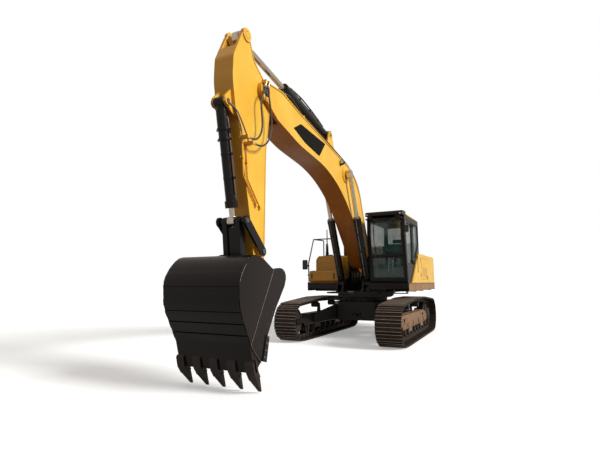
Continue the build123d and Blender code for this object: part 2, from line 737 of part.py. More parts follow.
def slew_ring():
    """Lower half of the slewing bearing."""
    ring = Circle(SLEW_RADIUS) - Circle(SLEW_RADIUS - 110.0)
    return upright(ring, CAR_TOP_Z + 20.0, SLEW_LOWER_TOP_Z)


def tail_outline(front_y):
    """Plan of the tail from a front line back to the tail radius."""
    corner_y = math.sqrt(TAIL_RADIUS**2 - DECK_HALF_WIDTH**2)
    left, right = (DECK_HALF_WIDTH, corner_y), (-DECK_HALF_WIDTH, corner_y)
    edges = [
        Line((-DECK_HALF_WIDTH, front_y), (DECK_HALF_WIDTH, front_y)),
        Line((DECK_HALF_WIDTH, front_y), left),
        ThreePointArc(left, (0.0, TAIL_RADIUS), right),
        Line(right, (-DECK_HALF_WIDTH, front_y)),
    ]
    return make_face(edges)


def platform():
    """Upper frame: bearing ring, bottom plate, twin towers and the side decks."""
    ring = Circle(SLEW_RADIUS) - Circle(SLEW_RADIUS - 90.0)
    body = upright(ring, SLEW_LOWER_TOP_Z + PIN_GAP, SLEW_UPPER_TOP_Z)
    body += block(
        -BOTTOM_PLATE_HALF, BOTTOM_PLATE_HALF, -1150.0, TAIL_FRONT_Y, SLEW_UPPER_TOP_Z, SLEW_UPPER_TOP_Z + PLATE
    )
    foot_y, foot_z = BOOM_CYL_FOOT
    floor = SLEW_UPPER_TOP_Z + PLATE
    tower = outline([
        (foot_y - 230.0, floor), (foot_y - 110.0, foot_z + 60.0), (foot_y - 60.0, foot_z + 120.0),
        (foot_y + 60.0, foot_z + 125.0), (-600.0, 1640.0), (-500.0, 2080.0), (-400.0, 2220.0),
        (-200.0, 2220.0), (-60.0, 2060.0), (500.0, 1750.0), (1150.0, TOWER_REAR_Z),
        (TAIL_FRONT_Y, TOWER_REAR_Z), (TAIL_FRONT_Y, floor),
    ])
    body += both_sides(tower, TOWER_IN, TOWER_OUT)
    body += both_sides(disc(BOOM_FOOT, 170.0), TOWER_OUT, TOWER_OUT + 30.0)
    lug = outline([
        (foot_y - 230.0, floor), (foot_y - 110.0, foot_z + 60.0), (foot_y - 60.0, foot_z + 120.0),
        (foot_y + 60.0, foot_z + 120.0), (foot_y + 110.0, foot_z + 60.0), (foot_y + 230.0, floor),
    ])
    body += both_sides(lug, BOOM_CYL_X + CYL_LUG_IN, BOOM_CYL_X + CYL_LUG_OUT)
    body -= middle(disc(BOOM_FOOT, BOOM_FOOT_PIN_R + PIN_GAP), DECK_HALF_WIDTH)
    body -= middle(disc(BOOM_CYL_FOOT, BOOM_CYL_PIN_R + PIN_GAP), DECK_HALF_WIDTH)
    deck = DECK_TOP_Z - PLATE
    for outward, front in ((1, DECK_FRONT_CAB), (-1, DECK_FRONT_TANK)):
        outer = outward * DECK_HALF_WIDTH
        near = outward * (TOWER_OUT + DECK_INNER_GAP)
        body += block(*sorted((near, outer)), front, TAIL_FRONT_Y, deck, DECK_TOP_Z)
        body += block(*sorted((outer - outward * PLATE, outer)), front, TAIL_FRONT_Y, SKIRT_BOTTOM_Z, deck)
        body += block(*sorted((near, outer)), front, front + PLATE, SKIRT_BOTTOM_Z, deck)
        for y in (-120.0, 900.0, TAIL_FRONT_Y - PLATE):
            rib = sorted((outward * (BOTTOM_PLATE_HALF - 40.0), outer))
            body += block(*rib, y, y + PLATE, SLEW_UPPER_TOP_Z + PLATE, deck)
    return body + entry_step()


def entry_step():
    """Step hung from the deck in front of the cab."""
    x0, x1 = ENTRY_STEP_X
    y0, y1 = DECK_FRONT_CAB, DECK_FRONT_CAB + ENTRY_STEP_DEPTH
    step = block(x0, x1, y0 - 40.0, y1, ENTRY_STEP_Z, ENTRY_STEP_Z + 20.0)
    side = outline([
        (y0 - 40.0, ENTRY_STEP_Z), (y1, ENTRY_STEP_Z), (y1, DECK_TOP_Z - PLATE + 1.0),
        (y0 + PLATE - 1.0, DECK_TOP_Z - PLATE + 1.0), (y0 + PLATE - 1.0, SKIRT_BOTTOM_Z),
        (y0 - 40.0, ENTRY_STEP_Z + 60.0),
    ])
    for x in (x0, x1 - 12.0):
        step += across(side, x, x + 12.0)
    return step


def counterweight():
    """Cast tail weight that follows the tail radius, undercut below, with its lifting eyes."""
    plan = tail_outline(TAIL_FRONT_Y)
    body = upright(plan, TAIL_BOTTOM_Z, HOUSE_TOP_Z)
    bottom = body.faces().sort_by(Axis.Z)[0]
    body = chamfer(bottom.edges().sort_by(Axis.Y)[-1], TAIL_UNDERCUT)
    top = body.faces().sort_by(Axis.Z)[-1]
    body = chamfer(top.edges().sort_by(Axis.Y)[-1], TAIL_EDGE)
    rim = plan - offset(plan, -TAIL_GROOVE, kind=Kind.INTERSECTION)
    rim -= Pos(0, TAIL_FRONT_Y) * Rectangle(4 * DECK_HALF_WIDTH, 4 * TAIL_GROOVE)
    body -= upright(rim, TAIL_GROOVE_Z, TAIL_GROOVE_Z + 2 * TAIL_GROOVE)
    y, rise, radius, hole = TAIL_EYE
    eye = disc((y, HOUSE_TOP_Z + rise), radius) + Pos(y, HOUSE_TOP_Z + rise / 2 - 5.0) * Rectangle(
        2 * radius, rise + 10.0
    )
    eye -= disc((y, HOUSE_TOP_Z + rise), hole)
    return body + both_sides(eye, TAIL_EYE_X - TAIL_EYE_HALF, TAIL_EYE_X + TAIL_EYE_HALF)


def housing():
    """Walls of the engine bay and both side bays, with door openings."""
    top = HOUSE_TOP_Z
    left = outline([
        (-560.0, DECK_TOP_Z), (TAIL_FRONT_Y, DECK_TOP_Z), (TAIL_FRONT_Y, top), (450.0, top),
    ])
    left -= service_opening(1)
    right = outline([
        (RIGHT_BAY_Y, DECK_TOP_Z), (TAIL_FRONT_Y, DECK_TOP_Z), (TAIL_FRONT_Y, top), (RIGHT_BAY_Y, top),
    ])
    right -= service_opening(-1)
    body = across(left, DECK_HALF_WIDTH - WALL, DECK_HALF_WIDTH)
    body += across(right, -DECK_HALF_WIDTH, -DECK_HALF_WIDTH + WALL)
    y, z, length, width = PANEL_SLOT
    slot = Pos(y, z) * SlotOverall(length, width, rotation=90)
    body -= across(slot, DECK_HALF_WIDTH - SLOT_DEPTH, DECK_HALF_WIDTH + 1.0)
    low = top - WALL
    inner = DECK_HALF_WIDTH - WALL
    body += block(HOOD_HALF, inner, LEFT_BAY_Y, TAIL_FRONT_Y, low, top)
    body += block(-inner, -HOOD_HALF, RIGHT_BAY_Y, TAIL_FRONT_Y, low, top)
    body += block(330.0, inner, LEFT_BAY_Y, LEFT_BAY_Y + WALL, DECK_TOP_Z, low)
    body += block(-inner, -330.0, RIGHT_BAY_Y, RIGHT_BAY_Y + WALL, DECK_TOP_Z, low)
    body += block(HOOD_HALF - WALL, HOOD_HALF, HOOD_FRONT_Y, TAIL_FRONT_Y, low, HOOD_TOP_Z)
    body += block(-HOOD_HALF, -HOOD_HALF + WALL, HOOD_FRONT_Y, TAIL_FRONT_Y, low, HOOD_TOP_Z)
    bay = HOOD_HALF - WALL
    body += block(-bay, bay, HOOD_FRONT_Y, HOOD_FRONT_Y + WALL, 1900.0, HOOD_TOP_Z)
    body += block(-bay, bay, TAIL_FRONT_Y - WALL, TAIL_FRONT_Y, low, HOOD_TOP_Z)
    for side, (y0, _) in SERVICE_DOORS.items():
        for z in DOOR_HINGE_Z:
            x = side * DECK_HALF_WIDTH
            body += block(*sorted((x, x + side * 2 * KNUCKLE_R)), y0 - 30.0, y0, z, z + KNUCKLE_LENGTH)
            body += door_knuckle(side, y0, z)
    for x in HOOD_HINGE_X:
        x0, x1 = x + KNUCKLE_LENGTH + PIN_GAP, x + 2 * KNUCKLE_LENGTH
        y0, y1 = HOOD_HINGE[0] - KNUCKLE_R, HOOD_HINGE[0] + KNUCKLE_R
        body += block(x0, x1, y0, HOOD_FRONT_Y, HOOD_TOP_Z - WALL, HOOD_TOP_Z)
        body += block(x0, x1, y0, y1, HOOD_TOP_Z - WALL, HOOD_HINGE[1])
        body += hood_knuckle(x0, x1)
    return body


def hood_knuckle(x0, x1):
    """Knuckle of the hood's hinge between two distances across X."""
    return across(disc(HOOD_HINGE, KNUCKLE_R), x0, x1)


def hood_lid():
    """Lid over the engine bay, hinged along its front edge."""
    z0 = HOOD_TOP_Z + PIN_GAP
    lid = block(-HOOD_HALF, HOOD_HALF, HOOD_FRONT_Y, TAIL_FRONT_Y, z0, z0 + WALL)
    lid = chamfer(lid.faces().sort_by(Axis.Z)[-1].edges(), 12.0)
    half, margin, rise = HOOD_RISE
    front, rear = HOOD_FRONT_Y + margin, TAIL_FRONT_Y - margin
    bulge = block(-half, half, front, rear, z0 + WALL - 1.0, z0 + WALL + rise)
    lid += chamfer(bulge.faces().sort_by(Axis.Z)[-1].edges(), 0.6 * rise)
    for x in HOOD_HINGE_X:
        end = x + KNUCKLE_LENGTH
        lid += block(x, end, HOOD_HINGE[0], HOOD_FRONT_Y + 5.0, z0, HOOD_HINGE[1] + KNUCKLE_R)
        lid += hood_knuckle(x, x + KNUCKLE_LENGTH)
    return lid


def door_knuckle(side, hinge_y, z0):
    """Upright knuckle of a service door's hinge."""
    x = side * (DECK_HALF_WIDTH + KNUCKLE_R)
    return Pos(x, hinge_y, z0 + KNUCKLE_LENGTH / 2) * Cylinder(KNUCKLE_R, KNUCKLE_LENGTH)


def service_opening(side):
    """Side outline of a service door's opening."""
    y0, y1 = SERVICE_DOORS[side]
    height = DOOR_TOP_Z - DOOR_BOTTOM_Z
    return Pos((y0 + y1) / 2, DOOR_BOTTOM_Z + height / 2) * Rectangle(y1 - y0, height)


def service_door(side):
    """Side door of a service bay, hinged along its front edge."""
    y0 = SERVICE_DOORS[side][0]
    x = side * DECK_HALF_WIDTH
    low, high = sorted((x, x - side * DOOR_THICK))
    panel = offset(service_opening(side), -DOOR_GAP, kind=Kind.INTERSECTION)
    face = sorted((x, x - side * SLOT_DEPTH))
    door = across(panel, low, high)
    door -= across(Pos(y0 + 130.0, 1960.0) * SlotCenterToCenter(160.0, 36.0, rotation=90), *face)
    length = SERVICE_DOORS[side][1] - y0 - 2 * LOUVRE_MARGIN
    for i in range(LOUVRE_COUNT):
        z = DOOR_BOTTOM_Z + 90.0 + i * LOUVRE_PITCH
        door -= across(Pos(y0 + LOUVRE_MARGIN + length / 2, z) * Rectangle(length, LOUVRE_HEIGHT), *face)
    for z in DOOR_HINGE_Z:
        z += KNUCKLE_LENGTH + PIN_GAP
        door += block(
            *sorted((x, x + side * 2 * KNUCKLE_R)), y0 + DOOR_GAP + 4.0, y0 + 40.0, z, z + KNUCKLE_LENGTH
        )
        door += block(
            *sorted((x + side * 2.0, x + side * 2 * KNUCKLE_R)), y0, y0 + 20.0, z, z + KNUCKLE_LENGTH
        )
        door += door_knuckle(side, y0, z)
    return door


def engine():
    """Engine as one plain block on the bottom plate."""
    x0, x1, y0, y1, top = ENGINE_BOX
    return block(x0, x1, y0, y1, DECK_TOP_Z, top)


def tank():
    """Fuel tank behind the step box on the right deck."""
    side = outline([
        (TANK_FRONT_Y, DECK_TOP_Z), (TANK_REAR_Y, DECK_TOP_Z), (TANK_REAR_Y, TANK_TOP_Z),
        (TANK_FRONT_Y + TANK_LEAN, TANK_TOP_Z), (TANK_FRONT_Y, TANK_TOP_Z - TANK_LEAN),
    ])
    inside = offset(side, -TANK_WALL, kind=Kind.INTERSECTION)
    hollow = across(inside, -TANK_OUT_X + TANK_WALL, -TANK_IN_X - TANK_WALL)
    return across(side, -TANK_OUT_X, -TANK_IN_X) - hollow


def step_box():
    """Tool box in front of the tank whose lid is a step."""
    side = outline([
        (STEP_FRONT_Y + STEP_TOE, DECK_TOP_Z), (TANK_FRONT_Y, DECK_TOP_Z), (TANK_FRONT_Y, STEP_TOP_Z),
        (STEP_FRONT_Y + STEP_EDGE, STEP_TOP_Z), (STEP_FRONT_Y, STEP_TOP_Z - STEP_EDGE),
        (STEP_FRONT_Y, STEP_TOE_Z),
    ])
    return across(side, -TANK_OUT_X, -TANK_IN_X)


def tube_path(points, radius, bend):
    """Bent round tube through 3-D points, with equal bends."""
    path = FilletPolyline(*points, radius=bend) if len(points) > 2 else Line(*points)
    start = path @ 0
    return sweep(Plane(origin=start, z_dir=path % 0) * Circle(radius), path)


def handrails():
    """Tube rails round the right deck and tank, and the post on the tank."""
    r, x = RAIL_R, -RAIL_X
    foot_y, rear_y = DECK_FRONT_TANK + 10.0, RAIL_REAR[0]
    seat_x = -TANK_OUT_X - r
    rail = tube_path([
        (x, foot_y, DECK_TOP_Z + 6.0), (x, *RAIL_KNEE), (x, *RAIL_TOP), (x, *RAIL_REAR),
        (x, rear_y, TANK_TOP_Z - 60.0), (seat_x, rear_y, TANK_TOP_Z - 110.0),
        (seat_x, rear_y, TANK_TOP_Z - 210.0),
    ], r, 40.0)
    rail += block(x - 35.0, x + 35.0, foot_y - 35.0, foot_y + 35.0, DECK_TOP_Z, DECK_TOP_Z + 10.0)
    cross_y = RAIL_TOP[0] + 20.0
    rail += tube_path([
        (x, cross_y, RAIL_TOP[1]), (-800.0, cross_y, RAIL_TOP[1]), (-800.0, cross_y, TANK_TOP_Z),
    ], r, 60.0)
    post_x, post_y, height, radius = POST
    top = TANK_TOP_Z + height
    rail += upright(Pos(post_x, post_y) * Circle(radius), TANK_TOP_Z, top)
    return rail + upright(Pos(post_x, post_y) * Circle(radius / 3), top - 1.0, top + height)


def cab_end_openings():
    """Blocks that cut the upper front, lower front and rear windows."""
    low, high = CAB_IN_X + CAB_PILLAR, CAB_OUT_X - CAB_PILLAR
    return [
        block(low, high, -1250.0, -900.0, FRONT_SILL_Z, DOOR_HEAD_Z),
        block(low, high, -1250.0, -880.0, *LOWER_PANE_Z),
        block(low, high, CAB_REAR_Y - 90.0, CAB_REAR_Y + 60.0, REAR_PANE_Z, WINDOW_TOP_Z),
    ]


def cab_shell():
    """Hollow cab of one wall thickness, with its window and door openings."""
    body = across(outline(CAB_SIDE, CAB_CORNER_R), CAB_IN_X, CAB_OUT_X)
    inside = offset(outline(CAB_SIDE), -CAB_WALL, kind=Kind.INTERSECTION)
    body -= across(inside, CAB_IN_X + CAB_WALL, CAB_OUT_X - CAB_WALL)
    outer_wall = (CAB_OUT_X - CAB_WALL - 1.0, CAB_OUT_X + 1.0)
    body -= across(outline(DOOR_SIDE, WINDOW_R), *outer_wall)
    body -= across(outline(REAR_SIDE_WINDOW, WINDOW_R), *outer_wall)
    body -= across(outline(RIGHT_WINDOW, WINDOW_R), CAB_IN_X - 1.0, CAB_IN_X + CAB_WALL + 1.0)
    for opening in cab_end_openings():
        body -= opening
    for z in HINGE_Z:
        body += block(CAB_OUT_X, HINGE_X, HINGE_Y - 10.0, HINGE_Y + 10.0, z, z + HINGE_HEIGHT)
        body += hinge_eye(z)
    return body


def hinge_eye(z):
    """Eye of a cab door hinge, standing on a height."""
    return Pos(HINGE_X, HINGE_Y, z + HINGE_HEIGHT / 2) * Cylinder(HINGE_R, HINGE_HEIGHT)


def cab_roof():
    """Roof cap over the cab."""
    body = block(
        CAB_IN_X + 20.0, CAB_OUT_X - 20.0, -1000.0, CAB_REAR_Y - 70.0, CAB_TOP_Z, CAB_TOP_Z + ROOF_THICK
    )
    return chamfer(body.faces().sort_by(Axis.Z)[-1].edges(), 20.0)


def cab_visor():
    """Sloped visor over the front window, with its two lamps."""
    root_z = CAB_TOP_Z - VISOR_DROP
    visor = outline([
        (-1133.1, root_z - VISOR_THICK), (-1130.0 - VISOR_REACH, root_z - VISOR_THICK + 5.0),
        (-1135.0 - VISOR_REACH, root_z - VISOR_THICK / 2), (-1131.0, root_z),
    ])
    body = across(visor, CAB_IN_X + 30.0, CAB_OUT_X - 30.0)
    for x in VISOR_LAMP_X:
        body += block(x - 60.0, x + 60.0, -1300.0, -1230.0, root_z - 20.0, root_z + 60.0)
    return body


def cab_door():
    """Door frame with its window opening and hinge eyes."""
    frame = offset(outline(DOOR_SIDE, WINDOW_R), -8.0, kind=Kind.INTERSECTION)
    door = across(frame - door_window(), CAB_OUT_X - 40.0, CAB_OUT_X)
    for z in HINGE_Z:
        z += HINGE_HEIGHT + PIN_GAP
        door += block(CAB_OUT_X, CAB_OUT_X + 20.0, -330.0, -230.0, z, z + HINGE_HEIGHT)
        door += block(CAB_OUT_X + 12.0, HINGE_X, -330.0, HINGE_Y, z, z + HINGE_HEIGHT)
        door += hinge_eye(z)
    return door


def door_window():
    """Outline of the door's window, above its lower panel."""
    window = offset(outline(DOOR_SIDE), -DOOR_RAIL, kind=Kind.INTERSECTION)
    return window - Pos(-600.0, DOOR_PANEL_Z - 280.0) * Rectangle(1400.0, 560.0)


def door_glass():
    """Pane in the door frame."""
    return across(door_window(), CAB_OUT_X - GLASS_IN - GLASS_THICK, CAB_OUT_X - GLASS_IN)


def cab_glass():
    """Front, lower front, right, left rear and rear panes, in the middle of the walls."""
    outer = offset(outline(CAB_SIDE), -GLASS_IN, kind=Kind.INTERSECTION)
    inner = offset(outline(CAB_SIDE), -GLASS_IN - GLASS_THICK, kind=Kind.INTERSECTION)
    layer = across(outer - inner, CAB_IN_X, CAB_OUT_X)
    panes = [layer & opening for opening in cab_end_openings()]
    deep, near = GLASS_IN + GLASS_THICK, GLASS_IN
    panes.append(across(outline(REAR_SIDE_WINDOW, WINDOW_R), CAB_OUT_X - deep, CAB_OUT_X - near))
    panes.append(across(outline(RIGHT_WINDOW, WINDOW_R), CAB_IN_X + near, CAB_IN_X + deep))
    return panes[0] + panes[1:]


def seat():
    """Operator's seat cushion and back."""
    floor = SEAT_BOTTOM_Z + PIN_GAP
    side = outline([
        (-350.0, floor), (60.0, floor), (170.0, 2700.0), (60.0, 2720.0), (-60.0, 2140.0),
        (-350.0, 2150.0),
    ], 40.0)
    return across(side, *SEAT_X)


def seat_base():
    """Seat stand with both arm consoles."""
    stand = block(780.0, 1140.0, -260.0, 60.0, CAB_BOTTOM_Z + CAB_WALL, SEAT_BOTTOM_Z)
    for x in CONSOLE_X:
        stand += block(x, x + CONSOLE_WIDTH, -420.0, 60.0, SEAT_BOTTOM_Z, CONSOLE_TOP_Z)
    return stand + block(CONSOLE_X[0], CONSOLE_X[1] + CONSOLE_WIDTH, -200.0, 0.0, 1960.0, SEAT_BOTTOM_Z)


def mirrors():
    """Rear view mirror on the right rail."""
    out = -RAIL_X - MIRROR_REACH
    head = block(out, out + MIRROR_THICK, *MIRROR_Y, *MIRROR_Z)
    y, z = MIRROR_Y[1], sum(MIRROR_Z) / 2
    stay = Pos(y, z) * Rectangle(MIRROR_THICK, MIRROR_THICK)
    return head + across(stay, out + MIRROR_THICK, -RAIL_X - RAIL_R - PIN_GAP)


def exhaust():
    """Exhaust stack with its open mouth and foot ring."""
    place = Pos(EXHAUST_X, EXHAUST_Y)
    stack = upright(place * Circle(EXHAUST_R), HOUSE_TOP_Z, HOUSE_TOP_Z + EXHAUST_HEIGHT)
    stack += upright(place * Circle(EXHAUST_R + 30.0), HOUSE_TOP_Z, HOUSE_TOP_Z + 14.0)
    mouth = upright(
        place * Circle(EXHAUST_R - EXHAUST_WALL), HOUSE_TOP_Z + EXHAUST_HEIGHT / 2,
        HOUSE_TOP_Z + EXHAUST_HEIGHT + 1.0,
    )
    slope = outline([
        (EXHAUST_Y - 100.0, HOUSE_TOP_Z + EXHAUST_HEIGHT + 1.0),
        (EXHAUST_Y + 100.0, HOUSE_TOP_Z + EXHAUST_HEIGHT + 1.0),
        (EXHAUST_Y + 100.0, HOUSE_TOP_Z + EXHAUST_HEIGHT - 100.0),
    ])
    return stack - mouth - across(slope, EXHAUST_X - 100.0, EXHAUST_X + 100.0)


def clamp_face(start, end, along, reach):
    """Side outline of a pipe clamp that stands on a run, at a distance along it."""
    low, high = along - CLAMP_HALF, along + CLAMP_HALF
    corners = ((low, -1.0), (low, reach), (high, reach), (high, -1.0))
    return outline([offset_point(start, end, forward, out) for forward, out in corners])


def boom_pipes():
    """Four pipes over the boom's back, with end blocks and clamps."""
    start = offset_point(BOOM_HEEL, BOOM_BACK, PIPE_START, PIPE_LIFT)
    bend = lifted(BOOM_HEEL, BOOM_BACK, BOOM_CREST, PIPE_LIFT)
    end = offset_point(BOOM_BACK, BOOM_CREST, PIPE_END, PIPE_LIFT)
    reach = PIPE_LIFT + PIPE_R + 8.0
    clamps = [clamp_face(BOOM_HEEL, BOOM_BACK, PIPE_START + place, reach) for place in (0.0, 500.0)]
    places = [BOOM_BACK_R / 2 + place for place in CLAMP_PLACES[:-1]] + [PIPE_END]
    clamps += [clamp_face(BOOM_BACK, BOOM_CREST, place, reach) for place in places]
    pieces = []
    for side in (-1, 1):
        for x in PIPE_X:
            route = [(side * x, *point) for point in (start, bend, end)]
            pieces.append(tube_path(route, PIPE_R, BOOM_BACK_R + PIPE_LIFT))
        low, high = sorted((side * (PIPE_X[0] - 26.0), side * (PIPE_X[1] + 26.0)))
        pieces += [across(clamp, low, high) for clamp in clamps]
    return pieces


def hose_fittings(face_x, half_up, hoses):
    """Blocks that the hoses over the arm joint end in, on one side plate.

    Each hose is (x, end point, direction it leaves in as 1 for down or -1 for rearward).
    """
    blocks = []
    for x, (y, z), down in hoses:
        if down:
            blocks.append(block(face_x, x + HOSE_R + 8.0, y - half_up, y + half_up, z, z + FITTING))
        else:
            blocks.append(block(face_x, x + HOSE_R + 8.0, y - FITTING, y, z - half_up, z + half_up))
    return blocks


def boom():
    """Hollow box boom with foot tube, nose fork, cylinder bosses, lugs and pipes."""
    skin = rounded(BOOM_SIDE)
    core = offset(skin, -BOOM_WALL, kind=Kind.INTERSECTION)
    body = middle(skin, BOOM_HALF) - middle(core, BOOM_HALF - FLANGE - BOOM_WALL)
    body -= both_sides(core, BOOM_HALF - FLANGE, BOOM_HALF + 1.0)
    body += middle(disc(BOOM_FOOT, BOOM_FOOT_R), BOOM_HALF)
    body += middle(disc(BOOM_NOSE, BOOM_NOSE_R), BOOM_HALF)
    nose_y, nose_z = BOOM_NOSE
    fork = outline([
        (nose_y - 400.0, nose_z - 400.0), (nose_y + 735.0, nose_z - 737.0), (nose_y + 375.0, nose_z - 60.0),
        (nose_y + FORK_DEPTH, nose_z + 100.0), (nose_y + FORK_DEPTH + 60.0, nose_z + 500.0),
        (nose_y - 400.0, nose_z + 500.0),
    ])
    body -= middle(fork, ARM_BOSS_HALF + 6.0)
    body += both_sides(disc(BOOM_CYL_HEAD, 2 * BOOM_HEAD_R), BOOM_HALF - FLANGE, BOOM_HALF)
    body += middle(disc(BOOM_CYL_HEAD, BOOM_HEAD_R), BOOM_HALF + BOOM_HEAD_OUT)
    foot_y, foot_z = ARM_CYL_FOOT
    lug = outline([
        (foot_y - 260.0, 4600.0), (foot_y - 90.0, foot_z + 60.0), (foot_y, foot_z + 105.0),
        (foot_y + 90.0, foot_z + 60.0), (foot_y + 260.0, 4560.0),
    ])
    body += both_sides(lug, 100.0, 135.0)
    body += middle(disc(ARM_CYL_FOOT, ARM_CYL_PIN_R), 145.0)
    for piece in boom_pipes():
        body += piece
    hoses = [(HOSE_FRONT_X, HOSE_FRONT[0], True), (HOSE_REAR_X, HOSE_REAR[0], True)]
    for piece in hose_fittings(BOOM_HALF - FLANGE, 26.0, hoses):
        body += piece
    body -= middle(disc(BOOM_NOSE, ARM_PIN_R + PIN_GAP), BOOM_HALF + 5.0)
    return body - middle(disc(BOOM_FOOT, BOOM_FOOT_PIN_R + PIN_GAP), BOOM_HALF + 5.0)


def boom_lamp():
    """Work lamp on a bracket at the boom's side."""
    y, z = LAMP
    lamp = extrude(Plane.XZ.offset(-y) * Pos(LAMP_X, z) * Circle(LAMP_R), LAMP_DEPTH)
    base = BOOM_HALF - FLANGE
    return lamp + block(base, LAMP_X, y - 50.0, y - 10.0, z - LAMP_R - 20.0, z - LAMP_R + 14.0)


def hose(x, points):
    """Plain tube of a hose over the arm joint, with arcs as large as its runs allow."""
    radii = []
    for before, here, after in zip(points, points[1:], points[2:]):
        back = Vector(before[0] - here[0], before[1] - here[1])
        ahead = Vector(after[0] - here[0], after[1] - here[1])
        turn = math.radians(180.0 - back.get_angle(ahead))
        radii.append(0.45 * min(back.length, ahead.length) / math.tan(turn / 2))
    print("hose radii", [round(radius) for radius in radii])
    path = FilletPolyline(*[(x, *point) for point in points], radius=radii)
    return sweep(Plane(origin=path @ 0, z_dir=path % 0) * Circle(HOSE_R), path)


def boom_foot_pin():
    """Pin of the boom foot, held in the towers."""
    return middle(disc(BOOM_FOOT, BOOM_FOOT_PIN_R), TOWER_OUT + 45.0)


def arm_pipes():
    """Two pipes down the arm's side from the hose fittings, with their clamps."""
    pieces = []
    for (y, z), drop in ((HOSE_FRONT[-1], 40.0), (HOSE_REAR[-1], 0.0)):
        y -= FITTING / 2
        route = [
            (ARM_PIPE_X, y, z), (ARM_PIPE_X, y + 60.0, z - 560.0 - drop),
            (ARM_PIPE_X, y + 430.0, z - 950.0 - drop),
        ]
        pieces.append(tube_path(route, ARM_PIPE_R, ARM_PIPE_BEND))
        _, knee_y, knee_z = route[1]
        for y, z in (((y + knee_y) / 2, (z + knee_z) / 2), route[2][1:]):
            clamp = Pos(y, z) * Rectangle(*ARM_CLAMP)
            pieces.append(across(clamp, ARM_HALF - ARM_FLANGE, ARM_PIPE_X + ARM_PIPE_R + 6.0))
    return pieces


def arm():
    """Hollow box arm with its top fork, pivot boss, cylinder lugs, tip bosses and pipes."""
    skin = rounded(ARM_SIDE)
    core = offset(skin, -ARM_WALL, kind=Kind.INTERSECTION)
    body = middle(skin, ARM_HALF) - middle(core, ARM_HALF - ARM_FLANGE - ARM_WALL)
    body -= both_sides(core, ARM_HALF - ARM_FLANGE, ARM_HALF + 1.0)
    body += middle(disc(BOOM_NOSE, ARM_BOSS_R), ARM_BOSS_HALF)
    body += middle(disc(BUCKET_PIN, ARM_TIP_R), ARM_HALF)
    body += middle(disc(ROCKER_PIN, 85.0), EAR_OUT)
    body += both_sides(disc(ARM_CYL_HEAD, ARM_HEAD_R), ARM_FORK_HALF, ARM_HALF)
    head_y, head_z = ARM_CYL_HEAD
    slot = outline([
        (head_y - 420.0, head_z + 210.0), (head_y + 280.0, head_z + 210.0), (head_y + 280.0, head_z - 290.0),
        (head_y + 30.0, head_z - 370.0), (head_y - 420.0, head_z - 240.0),
    ])
    body -= middle(slot, ARM_FORK_HALF)
    foot_y, foot_z = BUCKET_CYL_FOOT
    lug = outline([
        (-6700.0, 4560.0), (foot_y - 70.0, foot_z + 60.0), (foot_y - 80.0, foot_z - 20.0),
        (foot_y, foot_z - 80.0), (-6720.0, 4050.0),
    ])
    body += both_sides(lug, BUCKET_LUG_IN, BUCKET_LUG_OUT)
    body += both_sides(disc(BUCKET_CYL_FOOT, 72.0), BUCKET_LUG_OUT - 1.0, BUCKET_LUG_OUT + 12.0)
    hoses = [(HOSE_FRONT_X, HOSE_FRONT[-1], False), (HOSE_REAR_X, HOSE_REAR[-1], False)]
    for piece in arm_pipes() + hose_fittings(ARM_HALF - ARM_FLANGE, 24.0, hoses):
        body += piece
    for pin, radius in ((BUCKET_PIN, BUCKET_PIN_R), (ROCKER_PIN, ROCKER_PIN_R), (BOOM_NOSE, ARM_PIN_R)):
        body -= middle(disc(pin, radius + PIN_GAP), 300.0)
    return body + middle(disc(BUCKET_CYL_FOOT, BUCKET_CYL_PIN_R), BUCKET_LUG_OUT + 14.0)


def arm_pin():
    """Arm pivot pin with its end plates, fixed in the boom's nose."""
    pin = middle(disc(BOOM_NOSE, ARM_PIN_R), BOOM_HALF + 3.0)
    return pin + both_sides(disc(BOOM_NOSE, 90.0), BOOM_HALF + PIN_GAP, BOOM_HALF + 15.0)


def lip_line():
    """Last corner before the lip's edge, the edge, and the distance between them."""
    root, edge = BUCKET_BACK[-2][:2], BUCKET_BACK[-1][:2]
    return root, edge, math.dist(root, edge)


def lip():
    """Side outline of the thick lip plate."""
    root, edge, length = lip_line()
    heel = length - LIP_DEPTH
    corners = ((heel, 0.0), (length, 0.0), (length, -LIP_THICK), (heel, -LIP_THICK))
    return outline([offset_point(root, edge, forward, out) for forward, out in corners])


def bucket_side():
    """Outline of a bucket side plate."""
    root, edge, length = lip_line()
    toe = (*offset_point(root, edge, length, -LIP_THICK), 0.0)
    return rounded(BUCKET_BACK[1:] + [toe] + BUCKET_MOUTH)


